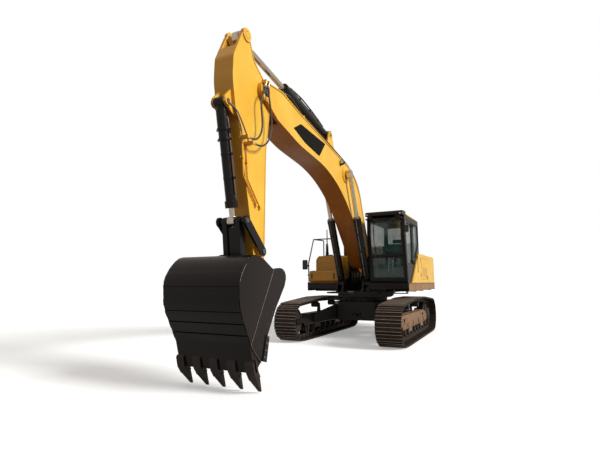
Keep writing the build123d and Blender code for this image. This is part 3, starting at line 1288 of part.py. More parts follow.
def bucket():
    """Welded bucket: rolled back with wear strips, side plates, lip, side cutters and hinge ears."""
    shell = rounded(BUCKET_BACK + inset(BUCKET_BACK, BUCKET_WALL)[::-1])
    side = bucket_side()
    body = middle(shell, BUCKET_HALF) + middle(lip(), BUCKET_HALF)
    body += both_sides(side, BUCKET_HALF - BUCKET_WALL, BUCKET_HALF)
    skin = offset(side, WEAR_THICK, kind=Kind.INTERSECTION) - offset(side, -1.0, kind=Kind.INTERSECTION)
    for z in WEAR_HEIGHTS:
        body += middle(skin & Pos(BUCKET_REAR_Y, z) * Rectangle(WEAR_REACH, WEAR_WIDTH), BUCKET_HALF)
    band = (side - offset(side, -MOUTH_BAND[0], kind=Kind.INTERSECTION)) & outline(MOUTH_BAND_ZONE)
    body += both_sides(band, BUCKET_HALF - 1.0, BUCKET_HALF + MOUTH_BAND[1])
    body += both_sides(outline(CUTTER), BUCKET_HALF - 1.0, BUCKET_HALF + CUTTER_THICK)
    pin_y, pin_z = BUCKET_PIN
    ear = outline([
        (-6250.0, 1740.0), (LINK_PIN[0] + 40.0, LINK_PIN[1] + 95.0), (LINK_PIN[0] - 60.0, LINK_PIN[1] + 95.0),
        (-6760.0, 1855.0), (-6700.0, 1800.0), (-6431.0, 1660.0), (-6190.0, 1590.0),
        (pin_y - 90.0, pin_z - 60.0), (pin_y, pin_z - EAR_R), (pin_y, pin_z + EAR_R),
    ]) + disc(BUCKET_PIN, EAR_R)
    body += both_sides(ear, EAR_IN, EAR_OUT)
    return body + middle(disc(BUCKET_PIN, BUCKET_PIN_R), EAR_OUT + 2.0)


def teeth():
    """Row of long pointed teeth in adapters that grip the lip."""
    root, edge, length = lip_line()
    heel = offset_point(root, edge, length, -LIP_THICK / 2)
    reach = math.dist(heel, TOOTH_TIP)
    cheek = offset_point(root, edge, length - ADAPTER_CHEEK, 0.0)
    grip = outline([
        cheek, offset_point(root, edge, length - ADAPTER_CHEEK + 30.0, ADAPTER_OUT),
        offset_point(root, edge, length, ADAPTER_OUT + 4.0),
        offset_point(heel, TOOTH_TIP, ADAPTER_NOSE, TOOTH_BASE[1] / 2),
        offset_point(heel, TOOTH_TIP, ADAPTER_NOSE, -TOOTH_BASE[1] / 2),
        offset_point(root, edge, length, -LIP_THICK - ADAPTER_OUT - 4.0),
        offset_point(root, edge, length - ADAPTER_CHEEK + 30.0, -LIP_THICK - ADAPTER_OUT),
        offset_point(root, edge, length - ADAPTER_CHEEK, -LIP_THICK),
    ]) - offset(lip(), PIN_GAP, kind=Kind.INTERSECTION)
    way = Vector(0, TOOTH_TIP[0] - heel[0], TOOTH_TIP[1] - heel[1])
    base_y, base_z = toward(heel, TOOTH_TIP, ADAPTER_NOSE - 12.0)
    spread = 2 * (BUCKET_HALF - TOOTH_EDGE) / (TOOTH_COUNT - 1)
    side = offset(bucket_side(), PIN_GAP, kind=Kind.INTERSECTION)
    plates = both_sides(side, BUCKET_HALF - BUCKET_WALL - PIN_GAP, BUCKET_HALF + PIN_GAP)
    group = []
    for i in range(TOOTH_COUNT):
        x = -BUCKET_HALF + TOOTH_EDGE + i * spread
        base = Plane(origin=(x, base_y, base_z), x_dir=(1, 0, 0), z_dir=way) * Rectangle(*TOOTH_BASE)
        point = Plane(origin=(x, *TOOTH_TIP), x_dir=(1, 0, 0), z_dir=way) * Rectangle(*TOOTH_POINT)
        adapter = across(grip, x - ADAPTER_HALF, x + ADAPTER_HALF) - plates
        group.append(adapter + loft([base, point]))
    return group[0] + group[1:]


def rocker():
    """Two rocker plates from the arm to the rod's pin, with both pins."""
    plates = slab(ROCKER_PIN, ROCKER_TOP, 75.0, ROCKER_IN, ROCKER_OUT)
    plates += mirror(plates, Plane.YZ)
    plates += middle(disc(ROCKER_PIN, ROCKER_PIN_R), ROCKER_OUT + 6.0)
    stub = across(disc(ROCKER_TOP, ROCKER_PIN_R), 68.0, ROCKER_OUT + 6.0)
    return plates + stub + mirror(stub, Plane.YZ)


def h_link():
    """Link from the rod's pin to the bucket: two forked arms joined by a web."""
    side = slab(ROCKER_TOP, LINK_PIN, 70.0, 75.0, 160.0)
    side += mirror(side, Plane.YZ)
    mid = toward(ROCKER_TOP, LINK_PIN, 380.0)
    web = slab(mid, LINK_PIN, 45.0, -76.0, 76.0)
    body = side + web
    body -= middle(disc(ROCKER_TOP, ROCKER_PIN_R + PIN_GAP), 300.0)
    return body


def barrel(foot, head, gland, radius, collar, eye, pin_radius, x=0.0):
    """Cylinder barrel with gland collar and a foot eye of (half width, radius, neck length)."""
    eye_half, eye_radius, neck = eye
    start, end = toward(foot, head, neck), toward(foot, head, gland)
    body = rod(start, end, radius, x)
    body += rod(toward(foot, head, gland - 110.0), end, collar, x)
    body += rod(toward(foot, head, 0.7 * eye_radius), start, min(eye_half, eye_radius) * 0.95, x)
    body += across(disc(foot, eye_radius), x - eye_half, x + eye_half)
    return body - across(disc(foot, pin_radius + PIN_GAP), x - eye_half - 1.0, x + eye_half + 1.0)


def bored(shape, foot, head, inside, rod_radius, x=0.0):
    """Barrel with the bore that its rod slides in."""
    deep = toward(foot, head, inside)
    far = toward(foot, head, 2.0 * math.dist(foot, head))
    return shape - rod(deep, far, rod_radius + ROD_GAP, x)


def piston_rod(foot, head, inside, radius, eye_half, eye_radius, x=0.0):
    """Rod from inside its barrel to its eye."""
    body = rod(toward(foot, head, inside), toward(foot, head, math.dist(foot, head) - 30.0), radius, x)
    return body + across(disc(head, eye_radius), x - eye_half, x + eye_half)


def gland_at(foot, head, shown):
    """Distance of a barrel's gland from its foot pin, from the rod length that shows."""
    return math.dist(foot, head) - shown


def boom_cylinders():
    """Twin boom cylinders: barrels with foot pins, and rods."""
    barrels, rods = [], []
    gland = gland_at(BOOM_CYL_FOOT, BOOM_CYL_HEAD, BOOM_ROD_SHOWN)
    inner = BOOM_BORE_END + BOOM_RETRACT
    for x in (-BOOM_CYL_X, BOOM_CYL_X):
        one = barrel(
            BOOM_CYL_FOOT, BOOM_CYL_HEAD, gland, BOOM_BARREL_R, BOOM_BARREL_R + 5.0,
            (54.0, 100.0, 170.0), BOOM_CYL_PIN_R, x,
        )
        barrels.append(bored(one, BOOM_CYL_FOOT, BOOM_CYL_HEAD, BOOM_BORE_END, BOOM_ROD_R, x))
        rods.append(piston_rod(BOOM_CYL_FOOT, BOOM_CYL_HEAD, inner, BOOM_ROD_R, 50.0, 105.0, x))
    return barrels[0] + barrels[1], rods[0] + rods[1]


def arm_cylinder():
    """Arm cylinder on top of the boom."""
    gland = gland_at(ARM_CYL_FOOT, ARM_CYL_HEAD, ARM_ROD_SHOWN)
    inner = ARM_BORE_END + ARM_RETRACT
    one = barrel(
        ARM_CYL_FOOT, ARM_CYL_HEAD, gland, ARM_BARREL_R, ARM_BARREL_R + 16.0,
        (94.0, 105.0, 90.0), 45.0,
    )
    body = bored(one, ARM_CYL_FOOT, ARM_CYL_HEAD, ARM_BORE_END, ARM_ROD_R)
    return body, piston_rod(ARM_CYL_FOOT, ARM_CYL_HEAD, inner, ARM_ROD_R, 60.0, 100.0)


def bucket_cylinder():
    """Bucket cylinder in front of the arm."""
    gland = gland_at(BUCKET_CYL_FOOT, ROCKER_TOP, BUCKET_ROD_SHOWN)
    inner = BUCKET_BORE_END + BUCKET_RETRACT
    one = barrel(
        BUCKET_CYL_FOOT, ROCKER_TOP, gland, BUCKET_BARREL_R, BUCKET_BARREL_R + 18.0,
        (81.0, 85.0, 75.0), 40.0,
    )
    body = bored(one, BUCKET_CYL_FOOT, ROCKER_TOP, BUCKET_BORE_END, BUCKET_ROD_R)
    return body, piston_rod(BUCKET_CYL_FOOT, ROCKER_TOP, inner, BUCKET_ROD_R, 60.0, 80.0)


def boom_cylinder_pins():
    """Pins through the boom barrels' feet, held in the upper frame."""
    return both_sides(disc(BOOM_CYL_FOOT, BOOM_CYL_PIN_R), TOWER_IN, BOOM_CYL_X + 102.0)


def build():
    """All pieces by node name, in the slew axis frame."""
    boom_barrels, boom_rods = boom_cylinders()
    arm_barrel, arm_rod = arm_cylinder()
    bucket_barrel, bucket_rod = bucket_cylinder()
    pieces = {
        "car_body": car_body(),
        "towing_eyes": towing_eyes(),
        "slew_ring": slew_ring(),
        "platform": platform(),
        "counterweight": counterweight(),
        "housing": housing(),
        "hood_lid": hood_lid(),
        "left_door": service_door(1),
        "right_door": service_door(-1),
        "engine": engine(),
        "tank": tank(),
        "step_box": step_box(),
        "handrails": handrails(),
        "mirror": mirrors(),
        "exhaust": exhaust(),
        "cab_shell": cab_shell(),
        "cab_roof": cab_roof(),
        "cab_visor": cab_visor(),
        "cab_door": cab_door(),
        "door_glass": door_glass(),
        "cab_glass": cab_glass(),
        "seat": seat(),
        "seat_base": seat_base(),
        "boom": boom(),
        "boom_foot_pin": boom_foot_pin(),
        "boom_cylinder_pins": boom_cylinder_pins(),
        "boom_lamp": boom_lamp(),
        "arm_pin": arm_pin(),
        "arm_hose_front": hose(HOSE_FRONT_X, HOSE_FRONT),
        "arm_hose_rear": hose(HOSE_REAR_X, HOSE_REAR),
        "arm": arm(),
        "bucket": bucket(),
        "teeth": teeth(),
        "rocker": rocker(),
        "h_link": h_link(),
        "boom_barrels": boom_barrels,
        "boom_rods": boom_rods,
        "arm_barrel": arm_barrel,
        "arm_rod": arm_rod,
        "bucket_barrel": bucket_barrel,
        "bucket_rod": bucket_rod,
    }
    for name, side in (("left", 1), ("right", -1)):
        pieces[f"track_{name}"] = track(side)
        pieces[f"track_frame_{name}"] = track_frame(side)
        pieces[f"idler_{name}"] = idler(side)
        pieces[f"sprocket_{name}"] = sprocket(side)
        pieces[f"rollers_{name}"] = rollers(side)
    return pieces


os.makedirs("parts", exist_ok=True)
for node, shape in build().items():
    export_step(Pos(0, SLEW_Y, 0) * shape, f"parts/{node}.step")
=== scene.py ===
"""Looks of a crawler excavator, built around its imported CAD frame.

Lengths are metres from the slewing axis on the ground: +Z up, the bucket toward -Y, the cab on
the +X side. Rig.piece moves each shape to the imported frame. Side outlines are (y, z) points. Each
sub-assembly is a class that builds its own pieces and dresses the CAD nodes that it keeps.
"""
import json
import logging
import math
from collections import defaultdict
from dataclasses import dataclass
from enum import Enum
from typing import Callable, Iterable, Sequence

import bpy
from mathutils import Matrix, Vector

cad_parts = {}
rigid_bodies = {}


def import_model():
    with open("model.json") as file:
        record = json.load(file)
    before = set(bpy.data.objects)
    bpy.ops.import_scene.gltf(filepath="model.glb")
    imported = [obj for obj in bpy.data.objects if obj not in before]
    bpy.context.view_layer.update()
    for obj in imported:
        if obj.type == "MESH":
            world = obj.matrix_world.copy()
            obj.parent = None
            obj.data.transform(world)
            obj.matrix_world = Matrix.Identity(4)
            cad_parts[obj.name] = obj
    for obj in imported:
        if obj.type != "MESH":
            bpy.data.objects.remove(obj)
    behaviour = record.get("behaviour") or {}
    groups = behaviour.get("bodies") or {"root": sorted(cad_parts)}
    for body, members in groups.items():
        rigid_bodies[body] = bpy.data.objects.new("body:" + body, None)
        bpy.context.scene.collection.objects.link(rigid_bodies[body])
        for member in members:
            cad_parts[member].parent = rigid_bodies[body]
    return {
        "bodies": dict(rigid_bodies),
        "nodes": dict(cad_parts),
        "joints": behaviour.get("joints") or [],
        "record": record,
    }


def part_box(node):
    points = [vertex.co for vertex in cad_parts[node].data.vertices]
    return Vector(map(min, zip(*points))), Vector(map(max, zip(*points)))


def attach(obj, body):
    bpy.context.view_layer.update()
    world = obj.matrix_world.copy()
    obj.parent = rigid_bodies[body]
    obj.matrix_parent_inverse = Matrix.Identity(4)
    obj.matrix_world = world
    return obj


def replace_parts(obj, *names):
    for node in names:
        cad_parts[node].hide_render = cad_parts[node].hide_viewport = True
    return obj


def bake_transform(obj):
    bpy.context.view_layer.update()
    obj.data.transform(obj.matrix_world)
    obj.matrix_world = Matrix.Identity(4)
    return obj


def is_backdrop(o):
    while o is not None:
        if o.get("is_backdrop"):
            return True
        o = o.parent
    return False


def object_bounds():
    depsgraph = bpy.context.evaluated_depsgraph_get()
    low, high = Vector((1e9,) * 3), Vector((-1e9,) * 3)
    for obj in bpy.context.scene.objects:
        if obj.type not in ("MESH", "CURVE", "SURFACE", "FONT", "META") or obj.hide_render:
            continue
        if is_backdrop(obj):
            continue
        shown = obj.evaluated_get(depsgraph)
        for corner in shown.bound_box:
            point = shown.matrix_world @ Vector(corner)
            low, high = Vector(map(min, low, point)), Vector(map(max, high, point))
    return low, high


LOG = logging.getLogger("excavator")
Flat = tuple[float, float]
Place = tuple[float, float, float]
Colour = tuple[float, float, float]
Socket = bpy.types.NodeSocket
SHARP_ANGLE = math.radians(38.0)
# (y, z) of the pins at the rods' eyes, which no joint of the frame names
BOOM_HEAD: Flat = (-2.100, 4.170)
ARM_HEAD: Flat = (-6.480, 5.490)
ROCKER_TOP: Flat = (-6.520, 2.430)


class Slot(Enum):
    """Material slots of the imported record."""

    BODY = "body_paint"
    DARK = "dark_paint"
    STEEL = "worn_steel"
    CHROME = "rod_chrome"
    GLASS = "cab_glass"
    CLOTH = "seat_cloth"
    TRIM = "trim_plastic"
    IRON = "engine_iron"
    HOSE = "hose_rubber"


class Axis(Enum):
    """Direction that a prism or a lathe runs along, as the index of its coordinate."""

    X = 0
    Y = 1
    Z = 2


class Graph:
    """Shader nodes of a material or a world, with a short call for each usual node."""

    def __init__(self, owner: bpy.types.Material | bpy.types.World) -> None:
        """Starts with object coordinates alone.

        Args:
            owner: The material or the world.
        """
        owner.use_nodes = True
        self.tree = owner.node_tree
        self.tree.nodes.clear()
        self.place = self.add("ShaderNodeTexCoord").outputs["Object"]

    def add(self, kind: str, **settings: object) -> bpy.types.Node:
        """Adds a node and sets its properties.

        Args:
            kind: Blender's node type.
            settings: Property names and values of the node.

        Returns:
            The new node.
        """
        node = self.tree.nodes.new(kind)
        for key, value in settings.items():
            setattr(node, key, value)
        return node

    def link(self, source: Socket, target: Socket) -> None:
        """Joins an output to an input."""
        self.tree.links.new(source, target)

    def feed(self, target: Socket, value: Socket | float | Sequence[float]) -> None:
        """Links a socket to an input, or writes a plain value to it.

        Args:
            target: The input.
            value: An output socket, a number or a colour.
        """
        if isinstance(value, bpy.types.NodeSocket):
            self.link(value, target)
        elif isinstance(value, (int, float)):
            target.default_value = value
        else:
            size = len(target.default_value)
            target.default_value = (*value, 1.0)[:size]

    def stretched(self, scale: Sequence[float]) -> Socket:
        """Object coordinates scaled along each axis."""
        node = self.add("ShaderNodeMapping")
        self.link(self.place, node.inputs["Vector"])
        node.inputs["Scale"].default_value = tuple(scale)
        return node.outputs["Vector"]

    def noise(
        self, scale: float, detail: float = 4.0, rough: float = 0.55, place: Socket | None = None
    ) -> Socket:
        """Fractal noise from 0 to 1.

        Args:
            scale: Features in a metre.
            detail: Octaves.
            rough: Weight of the fine octaves.
            place: Coordinates, or the object's own.

        Returns:
            The noise value.
        """
        node = self.add("ShaderNodeTexNoise")
        self.link(place or self.place, node.inputs["Vector"])
        node.inputs["Scale"].default_value = scale
        node.inputs["Detail"].default_value = detail
        node.inputs["Roughness"].default_value = rough
        return node.outputs["Fac"]

    def span(
        self, value: Socket, low: float, high: float, start: float = 0.0, end: float = 1.0
    ) -> Socket:
        """Maps low..high of a value to start..end, clamped.

        Args:
            value: The input value.
            low: Where the result is start.
            high: Where the result is end.
            start: First result.
            end: Last result.

        Returns:
            The mapped value.
        """
        node = self.add("ShaderNodeMapRange")
        self.link(value, node.inputs["Value"])
        for name, number in (("From Min", low), ("From Max", high), ("To Min", start), ("To Max", end)):
            node.inputs[name].default_value = number
        return node.outputs["Result"]

    def sum(self, kind: str, first: Socket | float, second: Socket | float = 0.0) -> Socket:
        """One step of arithmetic on two values."""
        node = self.add("ShaderNodeMath", operation=kind)
        self.feed(node.inputs[0], first)
        self.feed(node.inputs[1], second)
        return node.outputs[0]

    def blend(self, share: Socket | float, first: Socket | Colour, second: Socket | Colour) -> Socket:
        """Mix of two colours."""
        node = self.add("ShaderNodeMix", data_type="RGBA")
        self.feed(node.inputs[0], share)
        self.feed(node.inputs[6], first)
        self.feed(node.inputs[7], second)
        return node.outputs[2]

    def facing(self, axis: Axis) -> Socket:
        """Part of the surface normal along an axis, in the world."""
        node = self.add("ShaderNodeSeparateXYZ")
        self.link(self.add("ShaderNodeNewGeometry").outputs["Normal"], node.inputs[0])
        return node.outputs[axis.value]

    def height(self) -> Socket:
        """Height of the surface in the part's own frame."""
        node = self.add("ShaderNodeSeparateXYZ")
        self.link(self.place, node.inputs[0])
        return node.outputs[2]

    def rounded(self, radius: float) -> Socket:
        """Surface normal with its edges rounded off."""
        node = self.add("ShaderNodeBevel", samples=4)
        node.inputs["Radius"].default_value = radius
        return node.outputs["Normal"]

    def edges(self, radius: float) -> Socket:
        """Mask that is 1 along sharp edges and 0 on flat faces."""
        turn = self.add("ShaderNodeVectorMath", operation="DOT_PRODUCT")
        self.link(self.rounded(radius), turn.inputs[0])
        self.link(self.add("ShaderNodeNewGeometry").outputs["Normal"], turn.inputs[1])
        return self.span(turn.outputs["Value"], 0.99, 0.86)

    def bump(
        self, height: Socket, depth: float, under: Socket | None = None, strength: float = 1.0
    ) -> Socket:
        """Normal that follows a height.

        Args:
            height: Height from 0 to 1.
            depth: Height of 1 in metres.
            under: Normal to start from.
            strength: Share of the effect.

        Returns:
            The bumped normal.
        """
        node = self.add("ShaderNodeBump")
        node.inputs["Strength"].default_value = strength
        node.inputs["Distance"].default_value = depth
        self.link(height, node.inputs["Height"])
        if under is not None:
            self.link(under, node.inputs["Normal"])
        return node.outputs["Normal"]


class Surface(Graph):
    """Nodes of one material with a Principled shader."""

    def __init__(self, name: str) -> None:
        """Makes the material.

        Args:
            name: Its name.
        """
        self.material = bpy.data.materials.new(name)
        super().__init__(self.material)
        self.shader = self.add("ShaderNodeBsdfPrincipled")
        output = self.add("ShaderNodeOutputMaterial")
        self.link(self.shader.outputs["BSDF"], output.inputs["Surface"])

    def finish(self, **inputs: Socket | float | Sequence[float]) -> bpy.types.Material:
        """Sets the shader's inputs by name, with spaces as underscores.

        Args:
            inputs: Values or sockets for the Principled shader.

        Returns:
            The material.
        """
        for name, value in inputs.items():
            self.feed(self.shader.inputs[name.replace("_", " ")], value)
        return self.material


@dataclass(frozen=True)
class Finish:
    """A finish that pieces share: its name and the record's slot that it stands for."""

    name: str
    slot: Slot

    def material(self) -> bpy.types.Material:
        """The finish's material, made once."""
        made = bpy.data.materials.get(self.name)
        return made or self.make()

    def make(self) -> bpy.types.Material:
        """Builds the material's nodes."""
        raise NotImplementedError


@dataclass(frozen=True)
class Paint(Finish):
    """Sprayed paint with soft colour drift, dust on what faces up, worn edges, and painted shade, partly
    grime, on faces that look down or toward -Y.
    """

    colour: Colour = (0.90, 0.545, 0.058)
    deep: Colour = (0.84, 0.425, 0.026)
    dust: Colour = (0.46, 0.33, 0.17)
    worn: Colour = (0.50, 0.36, 0.16)
    # under: painted shade, partly grime, laid on faces that look down or toward -Y
    under: Colour = (0.47, 0.120, 0.018)
    roughness: float = 0.34
    dustiness: float = 0.22
    wear: float = 0.35
    # strength of that painted shade and grime
    shade_and_grime: float = 0.88
    gloss: float = 0.4

    def make(self) -> bpy.types.Material:
        """Builds the paint's nodes."""
        g = Surface(self.name)
        drift = g.span(g.noise(1.4, 5.0), 0.35, 0.65)
        runs = g.noise(9.0, 5.0, 0.6, g.stretched((1.0, 1.0, 0.16)))
        colour = g.blend(g.sum("MULTIPLY", drift, 0.75), self.colour, self.deep)
        colour = g.blend(g.span(runs, 0.56, 0.80, 0.0, 0.22), colour, self.deep)
        up = g.span(g.facing(Axis.Z), 0.25, 0.95)
        low = g.span(g.height(), 1.6, 0.2)
        settled = g.sum(
            "MULTIPLY", g.sum("MAXIMUM", up, low), g.span(g.noise(16.0, 8.0, 0.7), 0.38, 0.66)
        )
        settled = g.sum("MULTIPLY", settled, self.dustiness)
        colour = g.blend(settled, colour, self.dust)
        # Painted shade: faces that look down, and faces toward -Y away from the key light, darken toward
        # the under colour; on downward faces it also stands for grime.
        shaded = g.sum(
            "MAXIMUM", g.span(g.facing(Axis.Z), -0.04, -0.40),
            g.span(g.facing(Axis.Y), -0.45, -0.95, 0.0, 0.5),
        )
        shade_and_grime = g.sum("MULTIPLY", shaded, g.span(g.noise(6.0, 6.0), 0.2, 0.5, 0.75, 1.0))
        colour = g.blend(g.sum("MULTIPLY", shade_and_grime, self.shade_and_grime), colour, self.under)
        scuffs = g.span(g.noise(60.0, 6.0, 0.7), 0.45, 0.62)
        worn = g.sum("MULTIPLY", g.sum("MULTIPLY", g.edges(0.008), scuffs), self.wear)
        colour = g.blend(worn, colour, self.worn)
        rough = g.sum("ADD", g.span(g.noise(22.0, 5.0), 0.3, 0.7, -0.06, 0.08), self.roughness)
        rough = g.sum("ADD", rough, g.sum("MULTIPLY", settled, 0.5))
        normal = g.bump(g.noise(420.0, 2.0), 0.0004, g.rounded(0.004), 0.25)
        normal = g.bump(g.noise(2.2, 3.0), 0.006, normal, 0.25)
        return g.finish(
            Base_Color=colour, Roughness=rough, Normal=normal,
            Specular_IOR_Level=self.gloss, Coat_Weight=0.375 * self.gloss, Coat_Roughness=0.22,
        )


@dataclass(frozen=True)
class Steel(Finish):
    """Bare working steel: rust and earth in the hollows, bright where it rubs."""

    colour: Colour = (0.062, 0.045, 0.036)
    rust: Colour = (0.085, 0.042, 0.024)
    earth: Colour = (0.150, 0.110, 0.080)
    bright: Colour = (0.40, 0.34, 0.29)
    roughness: float = 0.55
    shine: float = 0.6

    def make(self) -> bpy.types.Material:
        """Builds the steel's nodes."""
        g = Surface(self.name)
        patches = g.span(g.noise(7.0, 8.0, 0.65), 0.42, 0.62)
        colour = g.blend(g.sum("MULTIPLY", patches, 0.75), self.colour, self.rust)
        caked = g.span(g.noise(19.0, 8.0, 0.7), 0.50, 0.72, 0.0, 0.7)
        colour = g.blend(caked, colour, self.earth)
        rubbed = g.sum("MULTIPLY", g.edges(0.007), g.span(g.noise(45.0, 5.0, 0.7), 0.36, 0.60))
        rubbed = g.sum("MULTIPLY", rubbed, self.shine)
        colour = g.blend(rubbed, colour, self.bright)
        rough = g.sum("SUBTRACT", g.sum("ADD", self.roughness, g.sum("MULTIPLY", caked, 0.3)),
                      g.sum("MULTIPLY", rubbed, 0.3))
        normal = g.bump(g.noise(130.0, 6.0, 0.7), 0.0012, g.rounded(0.003), 0.6)
        normal = g.bump(g.noise(18.0, 4.0), 0.003, normal, 0.35)
        return g.finish(
            Base_Color=colour, Roughness=rough, Normal=normal,
            Metallic=g.sum("ADD", 0.25, g.sum("MULTIPLY", rubbed, 0.7)),
        )


@dataclass(frozen=True)
class Plated(Finish):
    """Ground chrome or zinc with a faint film of oil and fine turning marks."""

    colour: Colour = (0.74, 0.66, 0.56)
    roughness: float = 0.16

    def make(self) -> bpy.types.Material:
        """Builds the plating's nodes."""
        g = Surface(self.name)
        film = g.span(g.noise(11.0, 6.0, 0.6), 0.40, 0.68)
        duller = tuple(0.72 * c for c in self.colour)
        colour = g.blend(g.sum("MULTIPLY", film, 0.6), self.colour, duller)
        rough = g.sum("ADD", self.roughness, g.sum("MULTIPLY", film, 0.14))
        normal = g.bump(g.noise(900.0, 2.0), 0.00015, g.rounded(0.003), 0.2)
        return g.finish(Base_Color=colour, Roughness=rough, Normal=normal, Metallic=1.0)


@dataclass(frozen=True)
class Rubber(Finish):
    """Moulded rubber or plastic with a fine grain and grey dust."""

    colour: Colour = (0.022, 0.021, 0.020)
    grain: float = 700.0
    roughness: float = 0.62
    dust: float = 0.14

    def make(self) -> bpy.types.Material:
        """Builds the rubber's nodes."""
        g = Surface(self.name)
        powder = g.sum("MULTIPLY", g.span(g.noise(30.0, 7.0, 0.7), 0.42, 0.70), self.dust)
        colour = g.blend(powder, self.colour, (0.24, 0.21, 0.18))
        rough = g.sum("ADD", self.roughness, g.sum("MULTIPLY", powder, 0.8))
        normal = g.bump(g.noise(self.grain, 3.0), 0.0004, g.rounded(0.003), 0.5)
        return g.finish(Base_Color=colour, Roughness=rough, Normal=normal)


@dataclass(frozen=True)
class Pane(Finish):
    """Green tinted safety glass with a little dust."""

    colour: Colour = (0.040, 0.150, 0.140)
    alpha: float = 0.38

    def make(self) -> bpy.types.Material:
        """Builds the glass nodes."""
        g = Surface(self.name)
        haze = g.span(g.noise(5.0, 7.0, 0.65), 0.45, 0.75, 0.0, 0.35)
        colour = g.blend(haze, self.colour, (0.34, 0.42, 0.38))
        alpha = g.sum("ADD", self.alpha, g.sum("MULTIPLY", haze, 0.25))
        rough = g.sum("ADD", 0.03, g.sum("MULTIPLY", haze, 0.18))
        return g.finish(
            Base_Color=colour, Roughness=rough, Alpha=alpha, IOR=1.52,
            Specular_IOR_Level=0.9, Coat_Weight=1.0, Coat_Roughness=0.02,
        )


@dataclass(frozen=True)
class Cloth(Finish):
    """Woven seat cloth with a soft sheen."""

    colour: Colour = (0.050, 0.048, 0.052)
    thread: Colour = (0.115, 0.110, 0.118)
    pitch: float = 330.0

    def make(self) -> bpy.types.Material:
        """Builds the weave's nodes."""
        g = Surface(self.name)
        warp = g.add("ShaderNodeTexWave", bands_direction="X")
        weft = g.add("ShaderNodeTexWave", bands_direction="Z")
        for wave in (warp, weft):
            g.link(g.place, wave.inputs["Vector"])
            wave.inputs["Scale"].default_value = self.pitch / math.tau
            wave.inputs["Distortion"].default_value = 0.6
        weave = g.sum("MULTIPLY", warp.outputs["Fac"], weft.outputs["Fac"])
        colour = g.blend(weave, self.colour, self.thread)
        colour = g.blend(g.span(g.noise(8.0, 5.0), 0.4, 0.7, 0.0, 0.4), colour, (0.09, 0.08, 0.075))
        normal = g.bump(weave, 0.0007, None, 0.7)
        return g.finish(
            Base_Color=colour, Roughness=0.85, Normal=normal, Sheen_Weight=0.35, Sheen_Roughness=0.5
        )


@dataclass(frozen=True)
class Lens(Finish):
    """Clear ribbed lamp lens over a bright reflector."""

    colour: Colour = (0.80, 0.82, 0.80)

    def make(self) -> bpy.types.Material:
        """Builds the lens nodes."""
        g = Surface(self.name)
        ribs = g.add("ShaderNodeTexWave", bands_direction="X")
        g.link(g.place, ribs.inputs["Vector"])
        ribs.inputs["Scale"].default_value = 24.0
        colour = g.blend(ribs.outputs["Fac"], self.colour, tuple(0.55 * c for c in self.colour))
        normal = g.bump(ribs.outputs["Fac"], 0.002, None, 0.8)
        return g.finish(
            Base_Color=colour, Roughness=0.12, Normal=normal, Metallic=0.35,
            Coat_Weight=1.0, Coat_Roughness=0.04,
        )


# Each paint's under colour is painted shade, partly grime, for faces that look down or toward -Y.
YELLOW = Paint("machine_yellow", Slot.BODY)
BLACK = Paint(
    "frame_black", Slot.DARK, colour=(0.0065, 0.0050, 0.0046), deep=(0.004, 0.003, 0.003),
    dust=(0.036, 0.024, 0.016), worn=(0.075, 0.060, 0.048), under=(0.004, 0.003, 0.003),
    roughness=0.36, dustiness=0.20, wear=0.4, gloss=0.28,
)
GREY_PAINT = Paint(
    "rail_grey", Slot.DARK, colour=(0.20, 0.19, 0.18), deep=(0.14, 0.13, 0.12), dust=(0.20, 0.16, 0.12),
    worn=(0.30, 0.27, 0.24), under=(0.06, 0.05, 0.04), roughness=0.36, dustiness=0.2, wear=0.4,
)
DIRTY_YELLOW = Paint(
    "frame_ochre", Slot.BODY, colour=(0.270, 0.135, 0.050), deep=(0.130, 0.065, 0.030),
    dust=(0.185, 0.120, 0.075), worn=(0.10, 0.07, 0.05), under=(0.03, 0.018, 0.012),
    roughness=0.55, dustiness=0.6, wear=0.7,
)
SKIRT_TAN = Paint(
    "skirt_tan", Slot.BODY, colour=(0.31, 0.165, 0.052), deep=(0.22, 0.115, 0.042),
    dust=(0.30, 0.22, 0.14), worn=(0.20, 0.14, 0.09), roughness=0.5, dustiness=0.4, wear=0.6,
)
BROWN_BLACK = Paint(
    "bucket_black", Slot.DARK, colour=(0.0105, 0.0066, 0.0058), deep=(0.0055, 0.0036, 0.0034),
    dust=(0.030, 0.019, 0.014), worn=(0.130, 0.100, 0.080), under=(0.0060, 0.0040, 0.0034),
    roughness=0.19, dustiness=0.22, wear=0.6, gloss=0.22,
)
CYLINDER_BLACK = Paint(
    "cylinder_black", Slot.DARK, colour=(0.0055, 0.0046, 0.0048), deep=(0.0035, 0.003, 0.003),
    dust=(0.030, 0.022, 0.016), worn=(0.070, 0.058, 0.048), under=(0.004, 0.003, 0.003),
    roughness=0.24, dustiness=0.14, wear=0.25, gloss=0.26,
)
TRACK_STEEL = Steel("track_steel", Slot.STEEL, colour=(0.017, 0.012, 0.009), rust=(0.030, 0.016, 0.009),
                    earth=(0.058, 0.040, 0.028), bright=(0.30, 0.24, 0.20), shine=0.5)
BAR_STEEL = Steel("bar_steel", Slot.STEEL, colour=(0.400, 0.320, 0.270), rust=(0.220, 0.140, 0.095),
                  earth=(0.170, 0.120, 0.088), bright=(0.62, 0.55, 0.48), roughness=0.36, shine=0.8)
LINK_STEEL = Steel("link_steel", Slot.STEEL, colour=(0.026, 0.019, 0.015), rust=(0.045, 0.025, 0.015),
                   earth=(0.085, 0.060, 0.042), roughness=0.6, shine=0.4)
PIN_STEEL = Steel("pin_steel", Slot.STEEL, colour=(0.10, 0.09, 0.085), rust=(0.08, 0.05, 0.035),
                  earth=(0.13, 0.10, 0.08), roughness=0.45)
